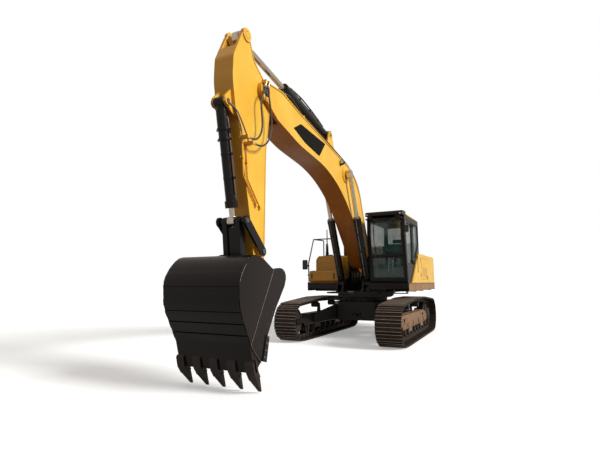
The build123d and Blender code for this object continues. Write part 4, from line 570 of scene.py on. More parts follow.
TOOTH_STEEL = Steel("tooth_steel", Slot.STEEL, colour=(0.022, 0.015, 0.012), rust=(0.036, 0.020, 0.013),
                    earth=(0.048, 0.034, 0.025), bright=(0.17, 0.14, 0.12), shine=0.6)
CHROME = Plated("rod_plating", Slot.CHROME)
ZINC = Plated("zinc_plating", Slot.STEEL, colour=(0.62, 0.58, 0.50), roughness=0.34)
RUBBER = Rubber("black_rubber", Slot.TRIM)
HOSE = Rubber("hose_cover", Slot.HOSE, colour=(0.030, 0.024, 0.021), grain=500.0, roughness=0.5)
PIPE = Steel(
    "pipe_steel", Slot.STEEL, colour=(0.16, 0.14, 0.12), rust=(0.12, 0.075, 0.045), roughness=0.4
)
WELD = Steel("weld_steel", Slot.STEEL, colour=(0.170, 0.145, 0.125), rust=(0.130, 0.105, 0.088),
             earth=(0.120, 0.098, 0.080), bright=(0.26, 0.23, 0.20), roughness=0.42, shine=0.4)
BAND = Paint(
    "band_black", Slot.DARK, colour=(0.0045, 0.0042, 0.0042), deep=(0.003, 0.003, 0.003),
    dust=(0.02, 0.015, 0.01), worn=(0.02, 0.018, 0.016), under=(0.003, 0.003, 0.003), roughness=0.5,
    dustiness=0.1, wear=0.2, gloss=0.06,
)
PLASTIC = Rubber("moulded_plastic", Slot.TRIM, colour=(0.032, 0.031, 0.032), roughness=0.5)
GREY_PLASTIC = Rubber("console_plastic", Slot.TRIM, colour=(0.13, 0.13, 0.135), roughness=0.55)
GLASS = Pane("tinted_glass", Slot.GLASS)
MIRROR = Plated("mirror_glass", Slot.CHROME, colour=(0.75, 0.78, 0.80), roughness=0.03)
SEAT_CLOTH = Cloth("seat_weave", Slot.CLOTH)
LENS = Lens("lamp_lens", Slot.GLASS)
IRON = Steel("engine_iron", Slot.IRON, colour=(0.12, 0.12, 0.12), rust=(0.10, 0.08, 0.07), shine=0.3)
WHITE = Paint("plain_white", Slot.BODY, colour=(0.72, 0.72, 0.70), deep=(0.60, 0.60, 0.57),
              dust=(0.40, 0.34, 0.27), worn=(0.35, 0.33, 0.30), dustiness=0.4, wear=0.4)


class Shape:
    """Mesh under construction: forms are added to it, then it is built as one piece."""

    def __init__(self) -> None:
        """Starts with no faces."""
        self.points: list[Vector] = []
        self.faces: list[tuple[int, ...]] = []

    def add(self, points: Iterable[Sequence[float]], faces: Iterable[Sequence[int]]) -> "Shape":
        """Adds points and the faces between them.

        Args:
            points: New points.
            faces: Faces, numbered from the first new point.

        Returns:
            This shape.
        """
        first = len(self.points)
        self.points += [Vector(p) for p in points]
        self.faces += [tuple(first + i for i in face) for face in faces]
        return self

    def rings(
        self, rings: Sequence[Sequence[Vector]], closed: bool = True, caps: bool = True
    ) -> "Shape":
        """Adds a skin over rings of equally many points.

        Args:
            rings: The rings, in order.
            closed: True if each ring runs back to its first point.
            caps: True if the first and last rings are filled.

        Returns:
            This shape.
        """
        size = len(rings[0])
        faces: list[Sequence[int]] = []
        last = size if closed else size - 1
        for row in range(len(rings) - 1):
            for i in range(last):
                j = (i + 1) % size
                a, b = row * size, (row + 1) * size
                faces.append((a + i, a + j, b + j, b + i))
        if caps:
            end = (len(rings) - 1) * size
            faces.append(tuple(reversed(range(size))))
            faces.append(tuple(range(end, end + size)))
        return self.add([p for ring in rings for p in ring], faces)

    def prism(self, outline: Sequence[Flat], low: float, high: float, axis: Axis = Axis.X) -> "Shape":
        """Adds an outline pulled straight along an axis.

        Args:
            outline: Points in the other two coordinates, in their order.
            low: Start along the axis.
            high: End along the axis.
            axis: The axis.

        Returns:
            This shape.
        """
        def at(point: Flat, along: float) -> Vector:
            """The outline point at a place along the axis."""
            values = list(point)
            values.insert(axis.value, along)
            return Vector(values)

        return self.rings([[at(p, along) for p in outline] for along in (low, high)])

    def box(self, low: Sequence[float], high: Sequence[float]) -> "Shape":
        """Adds a box between two corners."""
        (x0, y0, z0), (x1, y1, z1) = low, high
        return self.prism(rect(y0, z0, y1, z1), x0, x1)

    def lathe(
        self, centre: Sequence[float], way: Sequence[float], rows: Sequence[Flat], sides: int = 24
    ) -> "Shape":
        """Adds a turned form.

        Args:
            centre: Point on the turning axis.
            way: Direction of the axis.
            rows: Pairs of distance along the axis and radius.
            sides: Facets round the form.

        Returns:
            This shape.
        """
        turn = Vector(way).to_track_quat("Z", "Y").to_matrix()
        start = Vector(centre)
        rings = []
        for along, radius in rows:
            ring = []
            for i in range(sides):
                angle = math.tau * i / sides
                ring.append(
                    start + turn @ Vector((radius * math.cos(angle), radius * math.sin(angle), along))
                )
            rings.append(ring)
        return self.rings(rings)

    def bolt(self, place: Sequence[float], way: Sequence[float], radius: float) -> "Shape":
        """Adds a washer and a hexagon head.

        Args:
            place: Point on the surface.
            way: Outward direction.
            radius: Half the head's width.

        Returns:
            This shape.
        """
        self.lathe(place, way, [(-0.002, 1.35 * radius), (0.2 * radius, 1.35 * radius)], 12)
        return self.lathe(
            place, way, [(0.2 * radius, radius), (1.0 * radius, radius), (1.15 * radius, 0.8 * radius)],
            6,
        )

    def tube(self, path: Sequence[Vector], radius: float, sides: int = 10) -> "Shape":
        """Adds a round tube along a path.

        Args:
            path: Points of its centreline.
            radius: Its radius.
            sides: Facets round it.

        Returns:
            This shape.
        """
        points = [Vector(p) for p in path]
        across = (points[1] - points[0]).orthogonal().normalized()
        rings = []
        for i, point in enumerate(points):
            way = (points[min(i + 1, len(points) - 1)] - points[max(i - 1, 0)]).normalized()
            across = (across - way * across.dot(way)).normalized()
            other = way.cross(across)
            rings.append(
                [
                    point + radius * (
                        math.cos(math.tau * k / sides) * across + math.sin(math.tau * k / sides) * other
                    )
                    for k in range(sides)
                ]
            )
        return self.rings(rings)

    def curve(self, points: Sequence[Sequence[float]], radius: float, sides: int = 10) -> "Shape":
        """Adds a round tube along a smooth line through points."""
        return self.tube(flowing(points), radius, sides)

    def ring(self, centre: Sequence[float], way: Sequence[float], inner: float, outer: float,
             height: float, sides: int = 32) -> "Shape":
        """Adds a flat collar with a hole, standing out from a surface.

        Args:
            centre: Point on the surface.
            way: Outward direction.
            inner: Radius of the hole.
            outer: Radius of the rim.
            height: Height of the collar.
            sides: Facets round it.

        Returns:
            This shape.
        """
        first = len(self.points)
        soft = 0.15 * height
        self.lathe(
            centre, way,
            [
                (-0.002, inner), (height, inner + soft), (height, outer - soft), (height - soft, outer),
                (-0.002, outer),
            ],
            sides,
        )
        del self.faces[-2:]
        start, end = first, first + 4 * sides
        self.faces += [
            (end + i, end + (i + 1) % sides, start + (i + 1) % sides, start + i) for i in range(sides)
        ]
        return self

    def cap(self, centre: Sequence[float], way: Sequence[float], radius: float, height: float,
            bolts: int = 0, bolt: float = 0.010) -> "Shape":
        """Adds a pin's round end plate with its bolts and centre mark.

        Args:
            centre: Point on the surface.
            way: Outward direction.
            radius: Radius of the plate.
            height: Thickness of the plate.
            bolts: Number of bolts in its ring.
            bolt: Half width of a bolt head.

        Returns:
            This shape.
        """
        soft = 0.25 * height
        self.lathe(centre, way, [
            (-0.002, radius), (height - soft, radius), (height, radius - soft), (height, 0.28 * radius),
            (height - soft, 0.24 * radius), (height - soft, 0.001),
        ], 36)
        turn = Vector(way).to_track_quat("Z", "Y").to_matrix()
        for i in range(bolts):
            angle = math.tau * (i + 0.5) / bolts
            place = Vector((0.68 * radius * math.cos(angle), 0.68 * radius * math.sin(angle), height))
            self.bolt(Vector(centre) + turn @ place, way, bolt)
        return self

    def bead(
        self, path: Sequence[Vector], radius: float, closed: bool = False, step: float = 0.016
    ) -> "Shape":
        """Adds a rippled weld bead along a path.

        Args:
            path: Corners of the path.
            radius: Radius of the bead.
            closed: True if the path runs back to its start.
            step: Length of a ripple's half.

        Returns:
            This shape.
        """
        corners = [*path, path[0]] if closed else list(path)
        line = []
        for a, b in zip(corners, corners[1:]):
            count = max(1, round((b - a).length / step))
            line += [a.lerp(b, i / count) for i in range(count)]
        line.append(corners[-1])
        first = len(self.points)
        self.tube(line, radius, 5)
        for row, centre in enumerate(line):
            for k in range(5):
                i = first + 5 * row + k
                self.points[i] = centre + (self.points[i] - centre) * (1.12 if row % 2 else 0.86)
        return self

    def plate(
        self, outline: Sequence[Flat], low: float, high: float, radius: float, axis: Axis = Axis.X
    ) -> "Shape":
        """Adds a prism whose outline has rounded corners.

        Args:
            outline: Corners in the other two coordinates.
            low: Start along the axis.
            high: End along the axis.
            radius: Reach of each rounded corner.
            axis: The axis.

        Returns:
            This shape.
        """
        soft: list[Flat] = []
        for before, here, after in zip([outline[-1], *outline], outline, [*outline[1:], outline[0]]):
            corner = Vector(here)
            back, ahead = Vector(before) - corner, Vector(after) - corner
            start = corner + back.normalized() * min(radius, 0.45 * back.length)
            end = corner + ahead.normalized() * min(radius, 0.45 * ahead.length)
            for i in range(6):
                t = i / 5
                point = (1 - t) ** 2 * start + 2 * t * (1 - t) * corner + t**2 * end
                soft.append((point.x, point.y))
        return self.prism(soft, low, high, axis)

    def copies(self, other: "Shape", places: Iterable[Matrix]) -> "Shape":
        """Adds another shape once at each place."""
        for place in places:
            self.add([place @ p for p in other.points], other.faces)
            if place.determinant() < 0:
                count = len(other.faces)
                self.faces[-count:] = [tuple(reversed(f)) for f in self.faces[-count:]]
        return self

    def mirrored(self) -> "Shape":
        """This shape together with its mirror image across the middle."""
        twin = Shape()
        twin.add(self.points, self.faces)
        return self.copies(twin, [Matrix.Scale(-1.0, 4, (1.0, 0.0, 0.0))])

    def build(
        self, name: str, finish: Finish, body: str | None, bevel: float = 0.0
    ) -> bpy.types.Object:
        """Makes the object, dresses it and lets it ride on a body.

        Args:
            name: Name of the piece.
            finish: Its finish.
            body: CAD body that it moves with, or None to leave it unattached.
            bevel: Width of its rounded edges.

        Returns:
            The new object.
        """
        mesh = bpy.data.meshes.new(name)
        mesh.from_pydata([tuple(p) for p in self.points], [], self.faces)
        mesh.validate()
        mesh.shade_smooth()
        mesh.set_sharp_from_angle(angle=SHARP_ANGLE)
        piece = placed(name, mesh)
        if bevel:
            modifier = piece.modifiers.new("edges", "BEVEL")
            modifier.width = bevel
            modifier.segments = 2
            modifier.limit_method = "ANGLE"
            modifier.angle_limit = SHARP_ANGLE
        return settle(piece, finish, body)


def rect(left: float, low: float, right: float, high: float) -> list[Flat]:
    """Corners of a rectangle between two of them."""
    return [(left, low), (right, low), (right, high), (left, high)]


def placed(name: str, data: bpy.types.ID) -> bpy.types.Object:
    """Makes an object and links it to the scene.

    Args:
        name: Its name.
        data: Its mesh, light or camera.

    Returns:
        The new object.
    """
    item = bpy.data.objects.new(name, data)
    bpy.context.scene.collection.objects.link(item)
    return item


def coat(piece: bpy.types.Object, finish: Finish) -> None:
    """Makes a finish the only material of an object."""
    piece.data.materials.clear()
    piece.data.materials.append(finish.material())


def settle(piece: bpy.types.Object, finish: Finish, body: str | None) -> bpy.types.Object:
    """Gives a piece its finish and body.

    Args:
        piece: The object.
        finish: Its finish.
        body: CAD body that it moves with, or None.

    Returns:
        The piece.
    """
    coat(piece, finish)
    if body:
        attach(piece, body)
    LOG.info("piece %s: %s", piece.name, finish.name)
    return piece


def flowing(points: Sequence[Sequence[float]], steps: int = 8) -> list[Vector]:
    """Smooth line through points.

    Args:
        points: Points that the line goes through.
        steps: Steps between two of them.

    Returns:
        Points along the line.
    """
    knots = [Vector(p) for p in points]
    knots = [2 * knots[0] - knots[1], *knots, 2 * knots[-1] - knots[-2]]
    line = []
    for a, b, c, d in zip(knots, knots[1:], knots[2:], knots[3:]):
        for i in range(steps):
            t = i / steps
            line.append(0.5 * (2 * b + (c - a) * t + (2 * a - 5 * b + 4 * c - d) * t**2
                               + (3 * b - a - 3 * c + d) * t**3))
    return [*line, knots[-2]]


class Rig:
    """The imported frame: nodes, joint pivots and boxes."""

    def __init__(self) -> None:
        """Loads the frame once."""
        self.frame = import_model()
        self.cad_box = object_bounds()
        self.pivots = {j["name"]: Vector(j["pos_m"]) for j in self.frame["joints"] if "pos_m" in j}
        self.axis = Vector((0.0, self.pivots["slew"].y, 0.0))

    def piece(
        self, shape: Shape, name: str, finish: Finish, body: str, bevel: float = 0.0
    ) -> bpy.types.Object:
        """Builds a shape that is measured from the slewing axis.

        Args:
            shape: The shape.
            name: Name of the piece.
            finish: Its finish.
            body: CAD body that it moves with.
            bevel: Width of its rounded edges.

        Returns:
            The new object.
        """
        return Shape().copies(shape, [Matrix.Translation(self.axis)]).build(name, finish, body, bevel)

    def rims(self, node: str, axis: Axis, level: float) -> list[list[Vector]]:
        """Outlines of a node's flat faces at a level, the longest first.

        Args:
            node: Name of the CAD node.
            axis: Axis that the faces look along.
            level: Their place on it.

        Returns:
            Closed lines, from the slewing axis.
        """
        mesh = self.frame["nodes"][node].data
        spots: dict[tuple[float, ...], Vector] = {}
        sides: dict[frozenset, int] = defaultdict(int)
        for face in mesh.polygons:
            corners = [mesh.vertices[i].co for i in face.vertices]
            if all(abs(c[axis.value] - level) < 0.0006 for c in corners):
                keys = [tuple(round(v, 4) for v in c) for c in corners]
                spots.update(zip(keys, (c.copy() for c in corners)))
                for a, b in zip(keys, keys[1:] + keys[:1]):
                    if a != b:
                        sides[frozenset((a, b))] += 1
        beside: dict[tuple[float, ...], list] = defaultdict(list)
        for pair, count in sides.items():
            if count == 1:
                a, b = pair
                beside[a].append(b)
                beside[b].append(a)
        lines = []
        while beside:
            here = next(iter(beside))
            line = []
            while here in beside:
                line.append(spots[here] - self.axis)
                following = [other for other in beside.pop(here) if other in beside]
                if not following:
                    break
                here = following[0]
            if len(line) > 2:
                lines.append(line)
        return sorted(lines, key=lambda line: -sum((b - a).length for a, b in zip(line, line[1:])))

    def dress(self, finish: Finish, *nodes: str) -> None:
        """Gives CAD nodes a finish.

        Args:
            finish: The finish.
            nodes: Names of the nodes.
        """
        for name in nodes:
            coat(self.frame["nodes"][name], finish)
            LOG.info("node %s: %s", name, finish.name)

    def weld(self, node: str, level: float, outer: float, inner: float) -> None:
        """Lays weld beads round the flat faces of both sides of a CAD body.

        Args:
            node: The CAD body.
            level: Distance of the faces from the middle.
            outer: Radius of a side's longest bead.
            inner: Radius of its other beads.
        """
        shape = Shape()
        for side in (-1.0, 1.0):
            for i, line in enumerate(self.rims(node, Axis.X, side * level)):
                shape.bead(line, inner if i else outer, closed=True)
        self.piece(shape, f"{node}_welds", YELLOW, node)

    def pin(self, joint: str, x: float = 0.0) -> Vector:
        """Pivot of a joint from the slewing axis, at a distance across X."""
        place = self.pivots[joint] - self.axis
        place.x = x
        return place


@dataclass
class Tracks:
    """Chains, shoes and rollers of both sides."""

    rig: Rig
    shoes: int = 49
    shoe_width: float = 0.60
    plate: float = 0.014
    grouser: float = 0.026
    pin_to_shoe: float = 0.048
    rail_depth: float = 0.050
    rail_in: float = 0.048
    rail_out: float = 0.092
    end_z: float = 0.497
    end_radius: float = 0.397
    end_reach: float = 2.015
    bend_reach: float = 1.560
    carrier_reach: float = 0.620
    carrier_top: float = 0.995
    carrier_radius: float = 0.078
    roller_radius: float = 0.095

    def wheels(self) -> list[tuple[Flat, float]]:
        """Wheels that the pin line runs round, from the front bend."""
        bend = self.roller_radius + self.rail_depth
        bend_z = self.grouser + self.plate + self.pin_to_shoe + bend
        line = self.carrier_radius + self.rail_depth
        line_z = self.carrier_top - line
        return [
            ((-self.bend_reach, bend_z), bend), ((self.bend_reach, bend_z), bend),
            ((self.end_reach, self.end_z), self.end_radius),
            ((self.carrier_reach, line_z), line), ((-self.carrier_reach, line_z), line),
            ((-self.end_reach, self.end_z), self.end_radius),
        ]

    def pins(self) -> list[Flat]:
        """Pin places of the chain, one for each shoe."""
        wheels = self.wheels()
        headings = []
        for (a, ra), (b, rb) in zip(wheels, wheels[1:] + wheels[:1]):
            lean = math.asin((ra - rb) / math.dist(a, b))
            headings.append(math.atan2(b[1] - a[1], b[0] - a[0]) + lean)
        runs: list[tuple[float, Callable[[float], Flat]]] = []
        for i, (centre, radius) in enumerate(wheels):
            before, after = headings[i - 1], headings[i]
            following, reach = wheels[(i + 1) % len(wheels)]
            start = (centre[0] + radius * math.sin(after), centre[1] - radius * math.cos(after))
            end = (following[0] + reach * math.sin(after), following[1] - reach * math.cos(after))
            turn = (after - before) % math.tau
            runs.append((radius * turn, lambda d, c=centre, r=radius, h=before: (
                c[0] + r * math.sin(h + d / r), c[1] - r * math.cos(h + d / r))))
            runs.append((math.dist(start, end), lambda d, s=start, h=after: (
                s[0] + d * math.cos(h), s[1] + d * math.sin(h))))
        pitch = sum(length for length, _ in runs) / self.shoes
        places = []
        for i in range(self.shoes):
            distance = (i + 0.5) * pitch
            for length, point in runs:
                if distance <= length:
                    places.append(point(distance))
                    break
                distance -= length
        return places

    def frames(self, x: float) -> list[Matrix]:
        """Place of each shoe: Y along the chain, Z out from the loop, at a distance across X."""
        pins = self.pins()
        places = []
        for a, b in zip(pins, pins[1:] + pins[:1]):
            y, z = (b[0] - a[0]), (b[1] - a[1])
            length = math.hypot(y, z)
            y, z = y / length, z / length
            places.append(Matrix(((1, 0, 0, x), (0, y, z, a[0]), (0, z, -y, a[1]), (0, 0, 0, 1))))
        return places

    def pitch(self) -> float:
        """Distance between two pins on a straight run."""
        pins = self.pins()
        return math.dist(pins[0], pins[1])

    def bars(self) -> list[Flat]:
        """Place of each of a shoe's bars along it, and how far its foot leans out."""
        return [(0.012, 0.0), (self.pitch() / 2, 0.003), (self.pitch() - 0.020, 0.003)]

    def bar_tips(self) -> Shape:
        """Rubbed tips of a shoe's bars."""
        tip = self.pin_to_shoe + self.plate + self.grouser
        half = self.shoe_width / 2
        shape = Shape()
        for centre, _ in self.bars():
            shape.prism(
                [
                    (centre - 0.0068, tip - 0.006), (centre - 0.0055, tip - 0.001),
                    (centre - 0.004, tip), (centre + 0.004, tip), (centre + 0.0055, tip - 0.001),
                    (centre + 0.0068, tip - 0.006),
                ],
                -half, half,
            )
        return shape

    def shoe(self) -> Shape:
        """One triple-bar shoe: curled leading edge, three bars with rounded tips."""
        pitch, base = self.pitch(), self.pin_to_shoe
        top, tip = base + self.plate, base + self.plate + self.grouser
        half = self.shoe_width / 2
        profile = [(0.020, base - 0.010), (0.008, base - 0.004), (0.003, top - 0.004)]
        for centre, lean in self.bars():
            profile += [
                (centre - 0.010 - lean, top), (centre - 0.0065, tip - 0.005),
                (centre + 0.0065, tip - 0.005), (centre + 0.010 + lean, top),
            ]
        profile += [(pitch + 0.004, top), (pitch + 0.010, base + 0.002), (pitch + 0.016, base - 0.003)]
        profile += [
            (pitch + 0.042, base - 0.010), (pitch + 0.042, base - 0.020), (pitch + 0.012, base - 0.016)
        ]
        profile += [(pitch - 0.004, base), (0.040, base)]
        shape = Shape().prism(profile, -half, half)
        for y in (pitch * 0.30, pitch * 0.70):
            for x in (-0.115, -0.070, 0.070, 0.115):
                shape.bolt((x, y, top), (0, 0, 1), 0.011)
        return shape

    def link(self) -> Shape:
        """One chain link pair with its half-lapped eyes, bushing and pin."""
        pitch, rail, base = self.pitch(), -self.rail_depth, self.pin_to_shoe
        eye = 0.046
        lap = (self.rail_in + self.rail_out) / 2
        body = [
            (-0.030, rail + 0.012), (0.000, rail), (pitch - 0.060, rail), (pitch - 0.045, rail + 0.010),
            (pitch - 0.040, base - 0.012), (pitch - 0.060, base), (0.045, base), (0.028, base - 0.014),
            (-0.030, 0.020),
        ]
        shape = Shape().prism(body, self.rail_in, self.rail_out)
        shape.lathe((self.rail_in, 0, 0), (1, 0, 0), [(0.0, eye), (lap - self.rail_in, eye)], 16)
        shape.lathe(
            (lap + 0.001, pitch, 0), (1, 0, 0), [(0.0, eye), (self.rail_out - lap - 0.001, eye)], 16
        )
        shape.prism([(pitch - 0.07, -0.030), (pitch, -0.040), (pitch, 0.040), (pitch - 0.07, 0.040)],
                    lap + 0.001, self.rail_out - 0.001)
        shape.mirrored()
        shape.lathe((0, 0, 0), (1, 0, 0), [(-self.rail_in, 0.032), (self.rail_in, 0.032)], 16)
        shape.lathe(
            (0, 0, 0), (1, 0, 0),
            [
                (-self.rail_out - 0.004, 0.016), (-self.rail_out - 0.002, 0.019),
                (self.rail_out + 0.002, 0.019), (self.rail_out + 0.004, 0.016),
            ],
            14,
        )
        return shape

    def build(self) -> None:
        """Builds the detailed chains and dresses the wheels that they run on."""
        shoe, link = self.shoe(), self.link()
        for side, sign in (("left", 1.0), ("right", -1.0)):
            low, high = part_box(f"track_{side}")
            places = self.frames((low.x + high.x) / 2)
            shoes = self.rig.piece(Shape().copies(shoe, places), f"shoes_{side}", TRACK_STEEL, "base")
            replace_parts(shoes, f"track_{side}")
            self.rig.piece(
                Shape().copies(self.bar_tips(), places), f"shoe_bars_{side}", BAR_STEEL, "base"
            )
            self.rig.piece(Shape().copies(link, places), f"links_{side}", LINK_STEEL, "base")
            self.rig.dress(LINK_STEEL, f"idler_{side}", f"rollers_{side}")
            self.rig.dress(TRACK_STEEL, f"sprocket_{side}")
            self.rig.dress(DIRTY_YELLOW if sign > 0 else BLACK, f"track_frame_{side}")


@dataclass
class Hoses:
    """Two pressure hoses in loose loops over the arm joint."""

    rig: Rig
    radius: float = 0.015
    front_x: float = 0.300
    rear_x: float = 0.318
    front_length: float = 1.39
    rear_length: float = 1.52
    front: tuple[Flat, ...] = (
        (-6.085, 4.815), (-6.085, 4.695), (-6.195, 4.560), (-6.225, 4.400), (-6.190, 4.215),
        (-6.165, 4.010), (-6.240, 3.835), (-6.395, 3.715), (-6.580, 3.715),
    )
    rear: tuple[Flat, ...] = (
        (-6.015, 4.815), (-6.015, 4.650), (-5.960, 4.470), (-5.915, 4.290), (-5.905, 4.080),
        (-5.955, 3.900), (-6.080, 3.745), (-6.260, 3.650), (-6.460, 3.650),
    )

    def line(self, name: str, x: float, route: Sequence[Flat]) -> list[Vector]:
        """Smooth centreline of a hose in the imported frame.

        Args:
            name: Name for the curve.
            x: Distance across X.
            route: Its (y, z) points.

        Returns:
            Points along the hose.
        """
        curve = bpy.data.curves.new(name, "CURVE")
        curve.dimensions = "3D"
        curve.resolution_u = 10
        spline = curve.splines.new("NURBS")
        spline.points.add(len(route) - 1)
        for point, (y, z) in zip(spline.points, route):
            point.co = (*(Vector((x, y, z)) + self.rig.axis), 1.0)
        spline.order_u = 3
        spline.use_endpoint_u = True
        holder = bpy.data.objects.new(name, curve)
        mesh = bpy.data.meshes.new_from_object(holder)
        points = [v.co.copy() for v in mesh.vertices]
        bpy.data.objects.remove(holder)
        return points

    def hose(self, name: str, x: float, route: Sequence[Flat]) -> None:
        """Builds one hose's cover, which rides on no body, and its ferrules on the boom and the arm.

        Args:
            name: Name of its CAD node.
            x: Distance across X.
            route: Its (y, z) points.
        """
        path = self.line(f"{name}_route", x, route)
        piece = Shape().tube(path, self.radius, 14).build(f"{name}_cover", HOSE, None)
        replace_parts(piece, name)
        path[0]
        path[-1]
        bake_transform(piece)
        path[0]
        ends = ((path[0], path[1], "boom"), (path[-1], path[-2], "arm"))
        for end, inner, body in ends:
            way = (inner - end).normalized()
            ferrule = Shape().lathe(
                end, way,
                [
                    (-0.004, 0.017), (0.004, 0.0225), (0.060, 0.0225), (0.064, 0.0195), (0.068, 0.0195),
                    (0.072, 0.0165),
                ],
                20,
            )
            ferrule.lathe(end, way, [(-0.022, 0.026), (-0.001, 0.026), (0.002, 0.023)], 6)
            ferrule.build(f"{name}_ferrule_{body}", ZINC, body, 0.001)

    def build(self) -> None:
        """Builds both hoses."""
        self.hose("arm_hose_front", self.front_x, self.front)
        self.hose("arm_hose_rear", self.rear_x, self.rear)


@dataclass
class Boom:
    """Hose bundle, band, fittings and pin ends of the boom."""

    rig: Rig
    half: float = 0.250
    flange: float = 0.012
    lamp: Place = (0.300, -2.407, 4.400)
    pipe_ends: Flat = (-4.428, 4.829)
    hose_ends: Flat = (-5.27, 4.995)
    inner_x: float = 0.150
    outer_x: float = 0.200
    beside_x: float = 0.232
    beside_lifts: Flat = (0.008, 0.040)
    block: tuple[Place, Place] = ((-0.225, -5.36, 4.92), (0.225, -5.26, 5.035))
    block_bolts: tuple[float, ...] = (-0.175, -0.060, 0.060, 0.175)
    lug: Place = (0.135, -2.800, 5.000)
    inner_run: tuple[Flat, ...] = ((-4.75, 4.915), (-5.05, 4.985), (-5.27, 4.990))
    outer_run: tuple[Flat, ...] = ((-4.72, 4.950), (-5.02, 5.030), (-5.27, 5.000))
    back: tuple[Flat, ...] = (
        (-0.377, 2.648), (-0.72, 3.34), (-0.985, 3.86), (-1.30, 4.17), (-1.80, 4.395), (-2.45, 4.52),
        (-3.40, 4.652), (-4.428, 4.797),
    )
    band_outline: tuple[Flat, ...] = (
        (-4.620, 4.622), (-4.945, 4.430), (-4.430, 4.285), (-3.720, 4.205), (-3.385, 4.580),
    )

    def back_line(self, x: float, lift: float) -> list[Vector]:
        """Line over the boom's back where its pipes run.

        Args:
            x: Distance across X.
            lift: Height over the top plate.

        Returns:
            Points from the foot to the nose.
        """
        return flowing([(x, y, z + lift) for y, z in self.back])

    def bundle(self) -> None:
        """Hoses on the boom's back, the short ones from the pipes to the nose, and their block."""
        hoses = Shape()
        for x in (self.beside_x, -self.beside_x):
            for lift in self.beside_lifts:
                hoses.tube(self.back_line(x, lift), 0.013, 10)
        fittings = Shape()
        for sign in (1.0, -1.0):
            for x, run in (
                (sign * self.inner_x, self.inner_run), (sign * self.outer_x, self.outer_run)
            ):
                hoses.curve([(x, *place) for place in (self.pipe_ends, *run)], 0.016, 12)
                fittings.lathe(
                    (x, *self.pipe_ends), (0, -0.98, 0.18),
                    [(-0.03, 0.022), (0.05, 0.022), (0.055, 0.018)], 16,
                )
                fittings.lathe(
                    (x, *self.hose_ends), (0, 1.0, 0.1),
                    [(-0.02, 0.022), (0.06, 0.022), (0.065, 0.018)], 16,
                )
        self.rig.piece(hoses, "boom_hose_bundle", HOSE, "boom")
        self.rig.piece(fittings, "boom_hose_ends", ZINC, "boom", 0.001)
        block = Shape().box(*self.block)
        for x in self.block_bolts:
            block.bolt((x, -5.31, 5.035), (0, 0, 1), 0.012)
        self.rig.piece(block, "boom_nose_block", BLACK, "boom", 0.006)

    def band(self) -> None:
        """Plain black band on both side plates."""
        face = self.half - self.flange
        shape = Shape().plate(self.band_outline, face - 0.001, face + 0.0012, 0.03)
        self.rig.piece(shape.mirrored(), "boom_black_band", BAND, "boom")

    def fittings(self) -> None:
        """Pin ends, bosses, lock plates and the lamp's lens."""
        rims, plates, pins = Shape(), Shape(), Shape()
        for sign in (-1.0, 1.0):
            way = (sign, 0, 0)
            nose = self.rig.pin("arm_swing", sign * (self.half + 0.015))
            pins.cap(nose, way, 0.082, 0.010, 6, 0.011)
            rims.ring(self.rig.pin("arm_swing", sign * self.half), way, 0.094, 0.150, 0.008)
            head = Vector((sign * 0.300, *BOOM_HEAD))
            rims.ring(Vector((sign * self.half, *BOOM_HEAD)), way, 0.112, 0.200, 0.010)
            pins.bolt(head + Vector((sign * 0.001, -0.085, 0.03)), way, 0.010)
            eye = Vector((sign * self.lug[0], *self.lug[1:]))
            rims.ring(eye, way, 0.048, 0.078, 0.010)
            pins.cap(eye + Vector((sign * 0.009, 0, 0)), way, 0.042, 0.008)
            plates.plate(rect(-2.84, 5.10, -2.76, 4.99), *sorted((sign * 0.136, sign * 0.142)), 0.02)
        self.rig.piece(rims, "boom_bosses", YELLOW, "boom", 0.002)
        self.rig.piece(pins, "boom_pin_ends", PIN_STEEL, "boom", 0.001)
        self.rig.piece(plates, "boom_lock_plates", BLACK, "boom", 0.002)
        x, y, z = self.lamp
        lens = Shape().lathe(
            (x, y - 0.080, z), (0, -1, 0),
            [(-0.001, 0.046), (0.004, 0.044), (0.008, 0.030), (0.010, 0.002)], 28,
        )
        self.rig.piece(lens, "boom_lamp_lens", LENS, "boom")
        hood = Shape().ring((x, y - 0.078, z), (0, -1, 0), 0.046, 0.055, 0.014)
        self.rig.piece(hood, "boom_lamp_rim", BLACK, "boom", 0.001)

    def build(self) -> None:
        """Dresses the boom and adds its pieces."""
        self.rig.dress(YELLOW, "boom")
        self.rig.dress(BLACK, "boom_lamp")
        self.rig.dress(PIN_STEEL, "arm_pin")
        self.rig.weld("boom", self.half - self.flange, 0.008, 0.006)
        self.bundle()
        self.band()
        self.fittings()


